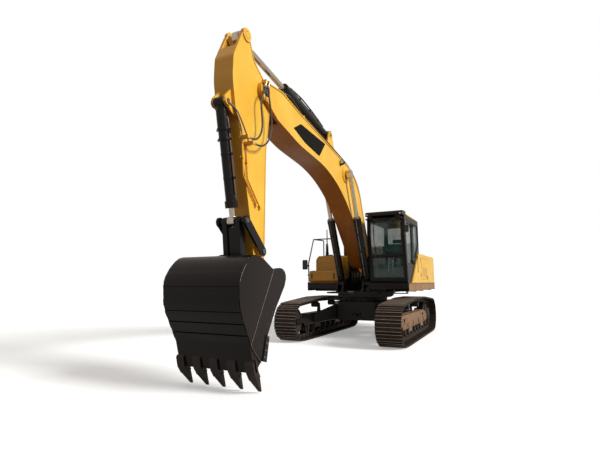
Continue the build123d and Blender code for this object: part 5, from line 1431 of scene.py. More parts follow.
@dataclass
class Arm:
    """Pipes, bosses and pin ends of the arm."""

    rig: Rig
    half: float = 0.180
    flange: float = 0.008
    pipe_gap: float = 0.024
    pipes_from: tuple[tuple[float, Flat], ...] = ((0.0, (-6.606, 3.715)), (0.028, (-6.486, 3.650)))
    lug_half: float = 0.134
    rocker_half: float = 0.269

    def pipes(self) -> None:
        """Steel pipes with nuts up the arm's side to the bucket cylinder."""
        runs, nuts = Shape(), Shape()
        cylinder = self.rig.pin("bucket_barrel_tilt")
        x = self.half + self.pipe_gap
        for dx, (y, z) in self.pipes_from:
            path = [(x + dx, y, z - 0.02), (x + dx, y - 0.02, z + 0.10), (x + dx, -6.70, 3.96 + dx),
                    (x - 0.02 + dx, -6.80, 4.10), (0.150, cylinder.y - 0.01, cylinder.z - 0.02)]
            runs.curve(path, 0.011, 12)
            nuts.lathe(path[0], (0, 0.1, 1), [(-0.018, 0.019), (0.018, 0.019)], 6)
            nuts.lathe(path[-1], (0.3, 0, 1), [(-0.016, 0.018), (0.016, 0.018)], 6)
        self.rig.piece(runs, "arm_pipes", PIPE, "arm")
        self.rig.piece(nuts, "arm_pipe_nuts", ZINC, "arm", 0.001)

    def fittings(self) -> None:
        """Bosses and pin ends."""
        rims, pins = Shape(), Shape()
        cylinder = self.rig.pin("bucket_barrel_tilt")
        for sign in (-1.0, 1.0):
            way = (sign, 0, 0)
            head = Vector((sign * self.half, *ARM_HEAD))
            rims.ring(head, way, 0.062, 0.110, 0.012)
            rims.cap(head + Vector((sign * 0.004, 0, 0)), way, 0.058, 0.010, 0)
            tip = self.rig.pin("bucket_curl", sign * self.half)
            rims.ring(tip, way, 0.056, 0.112, 0.005)
            foot = Vector((sign * self.lug_half, cylinder.y, cylinder.z))
            rims.ring(foot, way, 0.042, 0.070, 0.006)
            pins.cap(foot + Vector((sign * 0.003, 0, 0)), way, 0.038, 0.006, 3, 0.006)
            pins.cap(self.rig.pin("rocker_swing", sign * self.rocker_half), way, 0.041, 0.006, 3, 0.007)
        self.rig.piece(rims, "arm_bosses", YELLOW, "arm", 0.002)
        self.rig.piece(pins, "arm_pin_ends", PIN_STEEL, "arm", 0.001)

    def build(self) -> None:
        """Dresses the arm and adds its pieces."""
        self.rig.dress(YELLOW, "arm")
        self.rig.weld("arm", self.half - self.flange, 0.006, 0.005)
        self.pipes()
        self.fittings()


@dataclass(frozen=True)
class Barrel:
    """One cylinder: its names, pins, reach to the gland, radius and the side of its pipe."""

    name: str
    body: str
    joint: str
    x: float
    head: Flat
    reach: float
    radius: float
    above: Place


@dataclass
class Cylinders:
    """Gland bolts, straps and pipes of the hydraulic cylinders, a sleeve and two hoses."""

    rig: Rig
    barrels: tuple[Barrel, ...] = (
        Barrel(
            "boom_cylinder_left", "boom_barrels", "boom_barrel_tilt", 0.358, BOOM_HEAD, 1.86, 0.085,
            (0, -1, 0.3),
        ),
        Barrel(
            "boom_cylinder_right", "boom_barrels", "boom_barrel_tilt", -0.358, BOOM_HEAD, 1.86, 0.085,
            (0, -1, 0.3),
        ),
        Barrel("arm_cylinder", "arm_barrel", "arm_barrel_tilt", 0.0, ARM_HEAD, 2.04, 0.090, (0.7, 0, 1)),
        Barrel(
            "bucket_cylinder", "bucket_barrel", "bucket_barrel_tilt", 0.0, ROCKER_TOP, 1.52, 0.078,
            (1, 0, 0),
        ),
    )
    gland_bolts: int = 8
    strap_places: tuple[float, ...] = (0.30, 0.52, 0.76)
    sleeve_rows: tuple[Flat, ...] = (
        (0.110, 0.079), (0.120, 0.091), (0.385, 0.091), (0.390, 0.103), (0.430, 0.103), (0.435, 0.086),
        (0.540, 0.086), (0.545, 0.100), (0.580, 0.100), (0.585, 0.079),
    )
    clamp_x: float = 0.096
    clamp_places: Flat = (0.410, 0.562)
    hose_x: tuple[Flat, ...] = ((-0.045, 0.0), (0.030, 0.012))
    hose_knots: tuple[Flat, ...] = (
        (1.965, 0.085), (1.930, 0.125), (1.760, 0.150), (1.400, 0.185), (0.950, 0.175), (0.520, 0.140),
        (0.330, 0.118), (0.270, 0.085),
    )

    def fit(self, barrel: Barrel) -> None:
        """Adds the fittings of one barrel.

        Args:
            barrel: The barrel.
        """
        name, reach, radius = barrel.name, barrel.reach, barrel.radius
        foot, above = self.rig.pin(barrel.joint, barrel.x), Vector(barrel.above)
        way = (Vector((barrel.x, *barrel.head)) - foot).normalized()
        side = (above - way * above.dot(way)).normalized()
        other = way.cross(side)
        pipe_at = radius + 0.020
        gland, straps, pipe = Shape(), Shape(), Shape()
        end = foot + way * reach
        for i in range(self.gland_bolts):
            angle = math.tau * i / self.gland_bolts
            out = math.cos(angle) * side + math.sin(angle) * other
            gland.bolt(end + out * radius * 0.88, way, 0.010)
        gland.ring(end - way * 0.004, way, radius * 0.52, radius * 0.72, 0.012)
        for share in self.strap_places:
            place = foot + way * reach * share
            straps.ring(place - way * 0.018, way, radius - 0.003, radius + 0.006, 0.036, 36)
            straps.lathe(place + side * pipe_at, way, [(-0.020, 0.023), (0.020, 0.023)], 14)
            straps.bolt(place + side * (pipe_at + 0.021), side, 0.008)
        start = foot + way * reach * 0.16
        path = [
            start + side * (radius - 0.010), start + side * (pipe_at - 0.002) + way * 0.03,
            foot + way * reach * 0.30 + side * pipe_at, foot + way * reach * 0.80 + side * pipe_at,
            foot + way * (reach - 0.10) + side * pipe_at,
            foot + way * (reach - 0.075) + side * (radius - 0.01),
        ]
        pipe.curve(path, 0.012, 12)
        gland.lathe(
            foot + way * (reach - 0.075), side, [(radius - 0.004, 0.024), (radius + 0.022, 0.024)], 6
        )
        gland.lathe(start, side, [(radius - 0.004, 0.024), (radius + 0.018, 0.024)], 6)
        self.rig.piece(gland, f"{name}_gland_bolts", PIN_STEEL, barrel.body, 0.001)
        self.rig.piece(straps, f"{name}_straps", CYLINDER_BLACK, barrel.body, 0.001)
        self.rig.piece(pipe, f"{name}_pipe", PIPE, barrel.body)

    def build(self) -> None:
        """Dresses the cylinders and adds their fittings."""
        self.rig.dress(CYLINDER_BLACK, "boom_barrels", "arm_barrel", "bucket_barrel")
        self.rig.dress(CHROME, "boom_rods", "arm_rod", "bucket_rod")
        for barrel in self.barrels:
            self.fit(barrel)
        self.sleeve()
        self.hoses()

    def sleeve(self) -> None:
        """Thicker upper sleeve of the bucket cylinder with its two clamp rings and lugs."""
        foot = self.rig.pin("bucket_barrel_tilt")
        way = (Vector((0, *ROCKER_TOP)) - foot).normalized()
        shape = Shape().lathe(foot, way, self.sleeve_rows, 36)
        for sign in (-1.0, 1.0):
            for along in self.clamp_places:
                place = foot + way * along + Vector((sign * self.clamp_x, 0, 0))
                shape.lathe(place, (sign, 0, 0), [(0.0, 0.018), (0.030, 0.018), (0.034, 0.012)], 14)
        self.rig.piece(shape, "bucket_cylinder_sleeve", CYLINDER_BLACK, "bucket_barrel", 0.002)

    def hoses(self) -> None:
        """Black hoses that arch over the arm cylinder between its ports."""
        foot = self.rig.pin("arm_barrel_tilt")
        way = (Vector((0, *ARM_HEAD)) - foot).normalized()
        above = Vector((0, 0, 1)) - way * way.z
        shape = Shape()
        for x, rise in self.hose_x:
            line = [
                foot + way * along + above * (lift + rise) + Vector((x, 0, 0))
                for along, lift in self.hose_knots
            ]
            shape.curve(line, 0.016, 12)
        self.rig.piece(shape, "arm_cylinder_hoses", HOSE, "arm_barrel")


@dataclass
class Digging:
    """Pins and bolts of the bucket, its teeth and its linkage, and a dark web plate in the link that
    also stands in for shade.
    """

    rig: Rig
    half: float = 0.640
    cutter: float = 0.024
    tooth_edge: float = 0.042
    teeth: int = 5
    lip_edge: Flat = (-6.870, 0.300)
    tooth_tip: Flat = (-6.655, 0.025)
    cutter_bolts: tuple[Flat, ...] = (
        (-6.640, 0.470), (-6.615, 0.560), (-6.590, 0.650), (-6.568, 0.735)
    )
    ear_x: float = 0.222
    rocker_x: float = 0.263
    web_and_shade: tuple[Flat, ...] = ((-6.505, 1.930), (-6.470, 1.915), (-6.520, 2.330), (-6.555, 2.335))
    web_and_shade_half: float = 0.120

    def bucket(self) -> None:
        """Bolts of the side cutters."""
        bolts = Shape()
        for sign in (-1.0, 1.0):
            for y, z in self.cutter_bolts:
                bolts.bolt((sign * (self.half + self.cutter), y, z), (sign, 0, 0), 0.017)
        self.rig.piece(bolts, "bucket_cutter_bolts", PIN_STEEL, "bucket", 0.002)

    def tooth_pins(self) -> None:
        """Cross pins that hold the teeth in their adapters."""
        spread = 2 * (self.half - self.tooth_edge) / (self.teeth - 1)
        (tip_y, tip_z), (lip_y, lip_z) = self.tooth_tip, self.lip_edge
        along = Vector((0, tip_y - lip_y, tip_z - lip_z)).normalized()
        pins = Shape()
        for i in range(self.teeth):
            x = -self.half + self.tooth_edge + i * spread
            place = Vector((x, lip_y + 0.018, lip_z - 0.012)) + along * 0.075
            for sign in (-1.0, 1.0):
                pins.lathe(
                    place + Vector((sign * 0.064, 0, 0)), (sign, 0, 0),
                    [(-0.004, 0.017), (0.007, 0.017), (0.009, 0.012)], 14,
                )
        self.rig.piece(pins, "tooth_pins", TOOTH_STEEL, "bucket", 0.001)

    def linkage(self) -> None:
        """Pin ends and bosses of the rocker and the bucket's ears, and the link's dark web plate, partly
        painted shade.
        """
        pins, bosses = Shape(), Shape()
        for sign in (-1.0, 1.0):
            way = (sign, 0, 0)
            ear = self.rig.pin("bucket_curl", sign * self.ear_x)
            bosses.ring(ear, way, 0.055, 0.098, 0.004)
            pins.cap(ear + Vector((sign * 0.002, 0, 0)), way, 0.050, 0.010, 3, 0.008)
        self.rig.piece(bosses, "bucket_ear_bosses", BROWN_BLACK, "bucket", 0.002)
        self.rig.piece(pins, "bucket_pin_ends", PIN_STEEL, "bucket", 0.001)
        top, ends = Shape(), Shape()
        for sign in (-1.0, 1.0):
            place = self.rig.pin("link_swing", sign * self.rocker_x)
            top.ring(place, (sign, 0, 0), 0.047, 0.078, 0.006)
            ends.cap(place + Vector((sign * 0.006, 0, 0)), (sign, 0, 0), 0.042, 0.006, 3, 0.007)
        self.rig.piece(top, "rocker_bosses", CYLINDER_BLACK, "rocker", 0.002)
        self.rig.piece(ends, "rocker_pin_ends", PIN_STEEL, "rocker", 0.001)
        # Dark web plate across the link: partly a cast web, partly painted shade that hides the arm's
        # lower end, which lies in shade behind it.
        web_and_shade = Shape().prism(self.web_and_shade, -self.web_and_shade_half, self.web_and_shade_half)
        self.rig.piece(web_and_shade, "link_web_and_shade", CYLINDER_BLACK, "link", 0.004)

    def build(self) -> None:
        """Dresses the digging end and adds its pieces."""
        self.rig.dress(BROWN_BLACK, "bucket")
        self.rig.dress(TOOTH_STEEL, "teeth")
        self.rig.dress(CYLINDER_BLACK, "rocker", "h_link")
        self.bucket()
        self.tooth_pins()
        self.linkage()


@dataclass
class Bucketwork:
    """Cover plates that give the bucket its rolled back, round cheeks and ears."""

    rig: Rig
    half: float = 0.640
    cheek_out: float = 0.652
    ear_out: float = 0.648
    roll: tuple[Flat, ...] = (
        (-6.450, 1.716), (-6.560, 1.775), (-6.673, 1.832), (-6.780, 1.868), (-6.879, 1.878),
        (-6.965, 1.858), (-7.044, 1.808), (-7.112, 1.744), (-7.172, 1.668), (-7.225, 1.585),
        (-7.253, 1.510), (-7.264, 1.455),
    )
    back: tuple[Flat, ...] = (
        (-7.253, 1.310), (-7.246, 1.240), (-7.228, 1.160), (-7.191, 1.067), (-7.034, 0.785),
        (-6.985, 0.692),
    )
    ear: tuple[Flat, ...] = (
        (-6.380, 1.690), (-6.362, 1.705), (-6.280, 1.712), (-6.190, 1.717), (-6.105, 1.705),
        (-6.040, 1.668), (-6.002, 1.610), (-6.000, 1.545), (-6.035, 1.475), (-6.090, 1.410),
        (-6.325, 1.105), (-6.455, 0.902), (-6.565, 0.728), (-6.652, 0.470), (-6.720, 0.420),
        (-6.904, 0.600), (-6.972, 0.680),
    )
    seam: tuple[Flat, ...] = ((-6.379, 1.690), (-6.974, 0.681), (-6.905, 0.598), (-6.712, 0.410))

    def build(self) -> None:
        """Adds the rolled top plate, the cheeks, the ears and their seams."""
        inner = [(y + 0.016, z - 0.012) for y, z in self.roll]
        roll = Shape().prism([*self.roll, *reversed(inner)], -self.half, self.half)
        self.rig.piece(roll, "bucket_rolled_top", BROWN_BLACK, "bucket", 0.003)
        cheeks, ears, seams = Shape(), Shape(), Shape()
        cheeks.prism([self.ear[0], *self.roll, *self.back], self.half - 0.002, self.cheek_out)
        ears.prism(self.ear, self.half - 0.002, self.ear_out)
        for line in (self.seam, self.roll[7:-1]):
            seams.bead([Vector((self.cheek_out, y, z)) for y, z in line], 0.004, step=0.008)
        self.rig.piece(cheeks.mirrored(), "bucket_cheeks", BROWN_BLACK, "bucket", 0.003)
        self.rig.piece(ears.mirrored(), "bucket_ears", BROWN_BLACK, "bucket", 0.003)
        self.rig.piece(seams.mirrored(), "bucket_seams", WELD, "bucket")


@dataclass
class Undercarriage:
    """Hub bolts, end caps and covers of the track frames, and the slewing ring's bolts."""

    rig: Rig
    gauge_half: float = 1.295
    wheel_reach: float = 2.015
    wheel_z: float = 0.497
    hub_out: float = 0.132
    idler_out: float = 0.1057
    sprocket_out: float = 0.070
    roller_out: float = 0.135
    frame_out: float = 0.145
    roller_z: float = 0.233
    rollers: int = 8
    roller_reach: float = 1.350
    ring_radius: float = 0.700
    ring_bolts: int = 28
    ring_z: float = 0.980
    sprocket_bolts: int = 18
    bolt_circles: Flat = (0.212, 0.285)
    foot_gap: float = 0.095
    foot_z: float = 0.385
    covers_y: tuple[Flat, Flat] = ((-1.42, -1.10), (0.96, 1.18))
    covers_z: Flat = (0.47, 0.61)

    def side(self, sign: float) -> None:
        """Adds the fittings of one side.

        Args:
            sign: 1 for the left side, -1 for the right.
        """
        name = "left" if sign > 0 else "right"
        way = (sign, 0, 0)
        caps, bolts, covers = Shape(), Shape(), Shape()
        hub = Vector((sign * (self.gauge_half + self.hub_out), self.wheel_reach, self.wheel_z))
        caps.cap(hub, way, 0.118, 0.016, 8, 0.011)
        caps.ring(hub, way, 0.128, 0.160, 0.008)
        step = Vector((sign * (self.gauge_half + self.sprocket_out), self.wheel_reach, self.wheel_z))
        inner, outer = self.bolt_circles
        for i in range(self.sprocket_bolts):
            angle = math.tau * i / self.sprocket_bolts
            bolts.bolt(
                step + Vector((-sign * 0.002, inner * math.cos(angle), inner * math.sin(angle))), way,
                0.013,
            )
            bolts.bolt(
                step + Vector((-sign * 0.036, outer * math.cos(angle), outer * math.sin(angle))), way,
                0.014,
            )
        idler = Vector((sign * (self.gauge_half + self.idler_out), -self.wheel_reach, self.wheel_z))
        caps.cap(idler, way, 0.066, 0.014, 4, 0.010)
        for i in range(self.rollers):
            y = -self.roller_reach + 2 * self.roller_reach * i / (self.rollers - 1)
            place = Vector((sign * (self.gauge_half + self.roller_out), y, self.roller_z))
            caps.cap(place, way, 0.034, 0.010, 3, 0.007)
            for dy in (-self.foot_gap, self.foot_gap):
                flange = Vector(
                    (sign * (self.gauge_half + self.frame_out - 0.001), y + dy, self.foot_z)
                )
                bolts.bolt(flange, way, 0.013)
        face = sign * (self.gauge_half + self.frame_out)
        low_z, high_z = self.covers_z
        for y0, y1 in self.covers_y:
            low, high = sorted((face - sign * 0.002, face + sign * 0.009))
            covers.plate(rect(y0, low_z, y1, high_z), low, high, 0.02)
            for y in (y0 + 0.025, y1 - 0.025):
                for z in (low_z + 0.022, high_z - 0.022):
                    bolts.bolt((face + sign * 0.009, y, z), way, 0.009)
        self.rig.piece(caps, f"wheel_caps_{name}", LINK_STEEL, "base", 0.002)
        self.rig.piece(bolts, f"wheel_bolts_{name}", PIN_STEEL, "base")
        finish = DIRTY_YELLOW if sign > 0 else BLACK
        self.rig.piece(covers, f"frame_covers_{name}", finish, "base", 0.002)

    def build(self) -> None:
        """Builds both sides and the bolts round the slewing ring."""
        for sign in (1.0, -1.0):
            self.side(sign)
        ring = Shape()
        for i in range(self.ring_bolts):
            angle = math.tau * (i + 0.5) / self.ring_bolts
            ring.bolt(
                (self.ring_radius * math.cos(angle), self.ring_radius * math.sin(angle), self.ring_z),
                (0, 0, 1), 0.015,
            )
        self.rig.piece(ring, "slew_ring_bolts", PIN_STEEL, "base")


@dataclass
class Deck:
    """Tank, steps, rails, skirts, belly and fittings of the slewing deck."""

    rig: Rig
    deck_half: float = 1.490
    deck_top: float = 1.470
    deck_bottom: float = 1.250
    tank_out: float = -1.330
    tank_in: float = -0.500
    tank_y: Flat = (-0.458, 0.938)
    tank_top: float = 2.258
    step_out: float = -1.400
    step_front: float = -0.760
    step_top: float = 1.815
    post: Flat = (-1.000, -0.370)
    tail_rear: float = 3.080
    rail_x: float = -1.450
    seams_z: Flat = (1.700, 2.080)
    cap: Flat = (-1.02, -0.05)
    cap_rows: tuple[Flat, ...] = (
        (-0.004, 0.075), (0.020, 0.075), (0.024, 0.066), (0.050, 0.066), (0.056, 0.058), (0.056, 0.001),
    )
    tread: tuple[float, ...] = (-1.24, 0.14, -0.62, 0.86)
    tread_x: tuple[float, ...] = (-1.18, -0.93, -0.68)
    tread_y: tuple[float, ...] = (0.22, 0.50, 0.78)
    slots_x: Flat = (-1.325, -0.640)
    post_rows: tuple[Flat, ...] = (
        (0.0, 0.075), (0.012, 0.075), (0.030, 0.046), (0.150, 0.040), (0.340, 0.036), (0.352, 0.028),
        (0.370, 0.014),
    )
    rail_feet: Flat = (-0.690, 0.430)
    rail_clamps: Flat = (1.700, 1.960)
    mirror: tuple[float, ...] = (-1.592, 1.856, -1.438, 2.134)
    mirror_glass: tuple[float, ...] = (-1.582, 1.866, -1.448, 2.124)
    mirror_arm: tuple[Place, ...] = (
        (-1.452, -0.712, 1.975), (-1.480, -0.770, 1.985), (-1.515, -0.805, 1.990),
    )
    skirt_front: Flat = (-1.030, -0.680)
    skirt_bolts: int = 9
    skirt_pitch: float = 0.46
    belly: tuple[Flat, ...] = (
        (-0.440, 1.115), (-0.360, 1.106), (0.960, 1.106), (1.040, 1.150), (1.060, 1.252),
        (-0.440, 1.252),
    )
    belly_y: Flat = (-0.990, -0.790)
    belly_bolts: tuple[float, ...] = (-0.30, 0.10, 0.50, 0.90)
    card: tuple[float, ...] = (-0.152, 1.178, 0.008, 1.250)
    studs: tuple[int, int] = (9, 3)
    hoses_x: tuple[float, ...] = (-0.200, -0.120, -0.040, 0.040, 0.120, 0.200)

    def tank(self) -> None:
        """Fuel tank with a chamfered outer corner, its seams, cap and tread."""
        front, rear = self.tank_y
        outline = [
            (self.tank_out, self.deck_top), (self.tank_out, self.tank_top - 0.11),
            (self.tank_out + 0.08, self.tank_top), (self.tank_in, self.tank_top),
            (self.tank_in, self.deck_top),
        ]
        shell = Shape().plate(outline, front, rear, 0.045, Axis.Y)
        piece = self.rig.piece(shell, "fuel_tank", YELLOW, "upper", 0.014)
        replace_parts(piece, "tank")
        seams, trim, bolts = Shape(), Shape(), Shape()
        for z in self.seams_z:
            line = [
                Vector((self.tank_out + 0.012, front - 0.002, z)),
                Vector((self.tank_in - 0.012, front - 0.002, z)),
            ]
            seams.bead(line, 0.005)
        seams.bead(
            [Vector((x, front - 0.001, self.deck_top + 0.006)) for x in (self.tank_out, self.tank_in)],
            0.007,
        )
        trim.lathe((*self.cap, self.tank_top), (0, 0, 1), self.cap_rows, 28)
        trim.plate(rect(*self.tread), self.tank_top, self.tank_top + 0.006, 0.03, Axis.Z)
        for x in self.tread_x:
            for y in self.tread_y:
                bolts.bolt((x, y, self.tank_top + 0.006), (0, 0, 1), 0.010)
        self.rig.piece(seams, "tank_seams", YELLOW, "upper")
        self.rig.piece(trim, "tank_cap_and_tread", RUBBER, "upper", 0.002)
        self.rig.piece(bolts, "tank_tread_bolts", ZINC, "upper")

    def steps(self) -> None:
        """Front recesses, tread plate and grip studs of the step box."""
        slots, tread, bolts = Shape(), Shape(), Shape()
        for x in self.slots_x:
            slots.prism(
                rect(x - 0.022, 1.575, x + 0.022, 1.745), self.step_front - 0.003,
                self.step_front + 0.020, Axis.Y,
            )
        tread.plate(
            rect(self.step_out + 0.04, -0.735, -0.54, -0.485), self.step_top, self.step_top + 0.006,
            0.03, Axis.Z,
        )
        columns, rows = self.studs
        for i in range(columns):
            for j in range(rows):
                bolts.lathe((-1.30 + 0.088 * i, -0.690 + 0.082 * j, self.step_top + 0.005), (0, 0, 1),
                            [(0.0, 0.017), (0.006, 0.012), (0.006, 0.006), (0.001, 0.005)], 12)
        self.rig.piece(slots, "step_box_slots", RUBBER, "upper", 0.004)
        self.rig.piece(tread, "step_box_tread", BLACK, "upper", 0.002)
        self.rig.piece(bolts, "step_box_grip", ZINC, "upper")

    def rails(self) -> None:
        """Rail feet and clamps, the tall black post with its rod, and the mirror."""
        x, y = self.post
        post = Shape().lathe((x, y, self.tank_top - 0.002), (0, 0, 1), self.post_rows, 20)
        post.lathe((x, y, 2.600), (0, 0, 1), [(0.0, 0.017), (0.440, 0.013), (0.445, 0.004)], 10)
        post.ring((x, y, 2.330), (0, 0, 1), 0.036, 0.052, 0.022)
        self.rig.piece(post, "tank_post", BLACK, "upper", 0.001)
        feet = Shape()
        for y in self.rail_feet:
            feet.cap((self.rail_x, y, self.deck_top), (0, 0, 1), 0.045, 0.010, 4, 0.006)
        for z in self.rail_clamps:
            feet.lathe(
                (self.rail_x, -0.7 - 0.02 * (z - 1.47) / 0.55, z), (0, 0, 1),
                [(-0.020, 0.026), (0.020, 0.026)], 14,
            )
        self.rig.piece(feet, "rail_clamps", BLACK, "upper", 0.002)
        head = Shape().plate(rect(*self.mirror), -0.835, -0.800, 0.03, Axis.Y)
        head.curve(self.mirror_arm, 0.011, 10)
        head.lathe(
            (-1.515, -0.812, 1.990), (0, 1, 0), [(0.0, 0.028), (0.030, 0.022), (0.036, 0.010)], 16
        )
        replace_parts(self.rig.piece(head, "mirror_head", PLASTIC, "upper", 0.006), "mirror")
        face = Shape().plate(rect(*self.mirror_glass), -0.801, -0.7985, 0.026, Axis.Y)
        self.rig.piece(face, "mirror_face", MIRROR, "upper")

    def skirts(self) -> None:
        """Folded side skirts along the deck, and the belly plate under its front."""
        skirt = Shape()
        out = self.deck_half
        bolts = Shape()
        low, high = self.deck_bottom, self.deck_top - 0.004
        for sign, start in zip((1.0, -1.0), self.skirt_front):
            inner, face, lip = (sign * (out + d) for d in (-0.002, 0.007, 0.022))
            skirt.prism(
                [
                    (start, low + 0.02), (start + 0.02, low), (self.tail_rear, low),
                    (self.tail_rear, high), (start, high),
                ],
                *sorted((inner, face)),
            )
            for z in (low + 0.002, high - 0.020):
                near, far = sorted((inner, lip))
                skirt.box((near, start + 0.02, z), (far, self.tail_rear, z + 0.018))
            for i in range(self.skirt_bolts):
                bolts.bolt((face, start + 0.14 + self.skirt_pitch * i, 1.355), (sign, 0, 0), 0.010)
        self.rig.piece(skirt, "side_skirts", SKIRT_TAN, "upper", 0.002)
        self.rig.piece(bolts, "side_skirt_bolts", ZINC, "upper")
        belly = Shape().plate(self.belly, *self.belly_y, 0.02, Axis.Y)
        for x in self.belly_bolts:
            belly.bolt((x, self.belly_y[0], 1.225), (0, -1, 0), 0.012)
        self.rig.piece(belly, "belly_plate", BLACK, "upper", 0.004)
        card = Shape().plate(rect(*self.card), -0.996, -0.989, 0.012, Axis.Y)
        self.rig.piece(card, "blank_plate", WHITE, "upper", 0.001)

    def hoses(self) -> None:
        """Hose elbows on a low bridge between the towers, with their hose tails."""
        ends, tails = Shape(), Shape()
        for i, x in enumerate(self.hoses_x):
            top = Vector((x, -0.440, 1.722 - 0.020 * (i % 2)))
            ends.lathe(
                top, (0, -0.25, 1), [(-0.035, 0.024), (0.020, 0.024), (0.026, 0.019), (0.060, 0.019)], 6
            )
            ends.lathe(top + Vector((0, 0.0, -0.075)), (0, 0, 1), [(0.0, 0.027), (0.045, 0.027)], 16)
            tails.curve(
                [
                    (x, -0.440, 1.670), (x, -0.455, 1.600), (0.9 * x, -0.440, 1.530),
                    (0.8 * x, -0.400, 1.476),
                ],
                0.018, 12,
            )
        block = Shape().plate(rect(-0.245, 1.715, 0.245, 1.755), -0.452, -0.400, 0.012, Axis.Y)
        for x in (-0.225, 0.225):
            block.box((x - 0.018, -0.430, self.deck_top - 0.01), (x + 0.018, -0.405, 1.725))
        self.rig.piece(ends, "swivel_hose_ends", PIPE, "upper", 0.001)
        self.rig.piece(tails, "swivel_hose_tails", RUBBER, "upper")
        self.rig.piece(block, "swivel_hose_block", BLACK, "upper", 0.003)

    def build(self) -> None:
        """Builds every part of the deck."""
        self.tank()
        self.steps()
        self.rails()
        self.skirts()
        self.hoses()


@dataclass
class Housing:
    """Latches, grilles, treads and tail fittings of the engine housing."""

    rig: Rig
    wall: float = 1.506
    slot: Flat = (0.300, 1.985)
    slot_half: Flat = (0.030, 0.225)
    latch: Flat = (1.710, 1.640)
    hood_top: float = 2.585
    exhaust: Place = (-1.150, 1.600, 2.690)
    catches_x: Flat = (-0.62, 0.62)
    bars_x: Flat = (-0.78, 0.78)
    bar: tuple[Flat, ...] = (
        (1.42, 2.58), (1.42, 2.66), (1.50, 2.70), (1.92, 2.70), (2.0, 2.66), (2.0, 2.58),
    )
    air_slots: int = 7
    air_pitch: float = 0.030
    tread_x: Flat = (1.02, 1.40)
    tread_rear: float = 2.28
    stud_pitch: float = 0.09
    tail_radius: float = 3.440
    lamp_x: float = 1.05

    def slots(self) -> None:
        """Dark rubber round the long slot of each side panel."""
        y, z = self.slot
        half_y, half_z = self.slot_half
        outline = []
        for i in range(25):
            angle = math.tau * i / 24
            tall = half_z - half_y if math.sin(angle) >= 0 else half_y - half_z
            outline.append(
                Vector((1.4905, y + half_y * math.cos(angle), z + tall + half_y * math.sin(angle)))
            )
        seal = Shape().tube(outline, 0.007, 8)
        seal.prism(
            rect(y - half_y, z - half_z + half_y, y + half_y, z + half_z - half_y), 1.4775, 1.4795
        )
        self.rig.piece(seal, "panel_slot_seal", RUBBER, "upper")

    def latches(self) -> None:
        """Round latches of the doors and catches of the hood."""
        y, z = self.latch
        for body, sign, place in (("left_door", 1.0, y), ("right_door", -1.0, 1.94)):
            latch = Shape().cap((sign * self.wall, place, z), (sign, 0, 0), 0.055, 0.010, 0)
            latch.lathe(
                (sign * (self.wall + 0.008), place, z), (sign, 0, 0),
                [(0.0, 0.024), (0.008, 0.022), (0.010, 0.008)], 16,
            )
            self.rig.piece(latch, f"{body}_latch", WHITE if sign > 0 else ZINC, body, 0.001)
        catches = Shape()
        for x in self.catches_x:
            catches.plate(rect(x - 0.05, 2.420, x + 0.05, 2.520), 2.349, 2.358, 0.015, Axis.Y)
            catches.box((x - 0.018, 2.356, 2.440), (x + 0.018, 2.374, 2.560))
        self.rig.piece(catches, "hood_catches", RUBBER, "upper", 0.003)

    def top(self) -> None:
        """Air slots and lift bars of the hood, the treads beside it and the exhaust's clamps."""
        slots, bars = Shape(), Shape()
        for i in range(self.air_slots):
            y = 1.275 + self.air_pitch * i
            slots.plate(
                rect(-0.42, y - 0.008, 0.42, y + 0.008), self.hood_top - 0.004, self.hood_top + 0.0015,
                0.007, Axis.Z,
            )
        self.rig.piece(slots, "hood_air_slots", RUBBER, "hood_lid")
        for x in self.bars_x:
            bars.curve([(x, *place) for place in self.bar], 0.011, 10)
        self.rig.piece(bars, "hood_lift_bars", BLACK, "hood_lid")
        treads, studs = Shape(), Shape()
        for sign in (-1.0, 1.0):
            low, high = sorted(sign * x for x in self.tread_x)
            start = 1.76 if sign < 0 else 0.80
            treads.plate(rect(low, start, high, self.tread_rear), 2.299, 2.305, 0.03, Axis.Z)
            for i in range(int((2.22 - start) / self.stud_pitch)):
                for x in (low + 0.06, low + 0.15, low + 0.24, low + 0.33):
                    studs.lathe(
                        (x, start + 0.06 + self.stud_pitch * i, 2.304), (0, 0, 1),
                        [(0.0, 0.016), (0.006, 0.011), (0.006, 0.004)], 10,
                    )
        self.rig.piece(treads, "walkway_treads", BLACK, "upper", 0.002)
        self.rig.piece(studs, "walkway_studs", ZINC, "upper")
        x, y, z = self.exhaust
        clamp = Shape().ring((x, y, 2.360), (0, 0, 1), 0.054, 0.068, 0.030)
        clamp.bolt((x, y - 0.068, 2.375), (0, -1, 0), 0.010)
        clamp.ring((x, y, z - 0.022), (0, 0, 1), 0.046, 0.058, 0.012)
        self.rig.piece(clamp, "exhaust_clamp", PIPE, "upper", 0.001)

    def tail(self) -> None:
        """Plugs and lamps of the counterweight, and the sensor housing above it."""
        plugs, lamps, lens = Shape(), Shape(), Shape()
        for x in (-0.95, 0.95):
            plugs.cap((x, 2.72, 2.298), (0, 0, 1), 0.060, 0.010, 4, 0.008)
        for sign in (-1.0, 1.0):
            x, y = sign * self.lamp_x, math.sqrt(self.tail_radius**2 - self.lamp_x**2)
            way = Vector((x, y, 0)).normalized()
            place = Vector((x, y, 2.10)) - 0.006 * way
            lamps.lathe(place, way, [(0.0, 0.060), (0.018, 0.060), (0.022, 0.052)], 28)
            lens.lathe(place, way, [(0.020, 0.050), (0.025, 0.045), (0.028, 0.020)], 28)
        plugs.plate(rect(-0.07, 2.445, 0.07, 2.510), 2.348, 2.400, 0.02, Axis.Y)
        plugs.lathe((0, 2.400, 2.478), (0, 1, 0), [(0.0, 0.020), (0.006, 0.018), (0.008, 0.006)], 20)
        self.rig.piece(plugs, "tail_plugs", RUBBER, "upper", 0.002)
        self.rig.piece(lamps, "tail_lamp_rims", RUBBER, "upper", 0.001)
        self.rig.piece(lens, "tail_lamp_lenses", LENS, "upper")

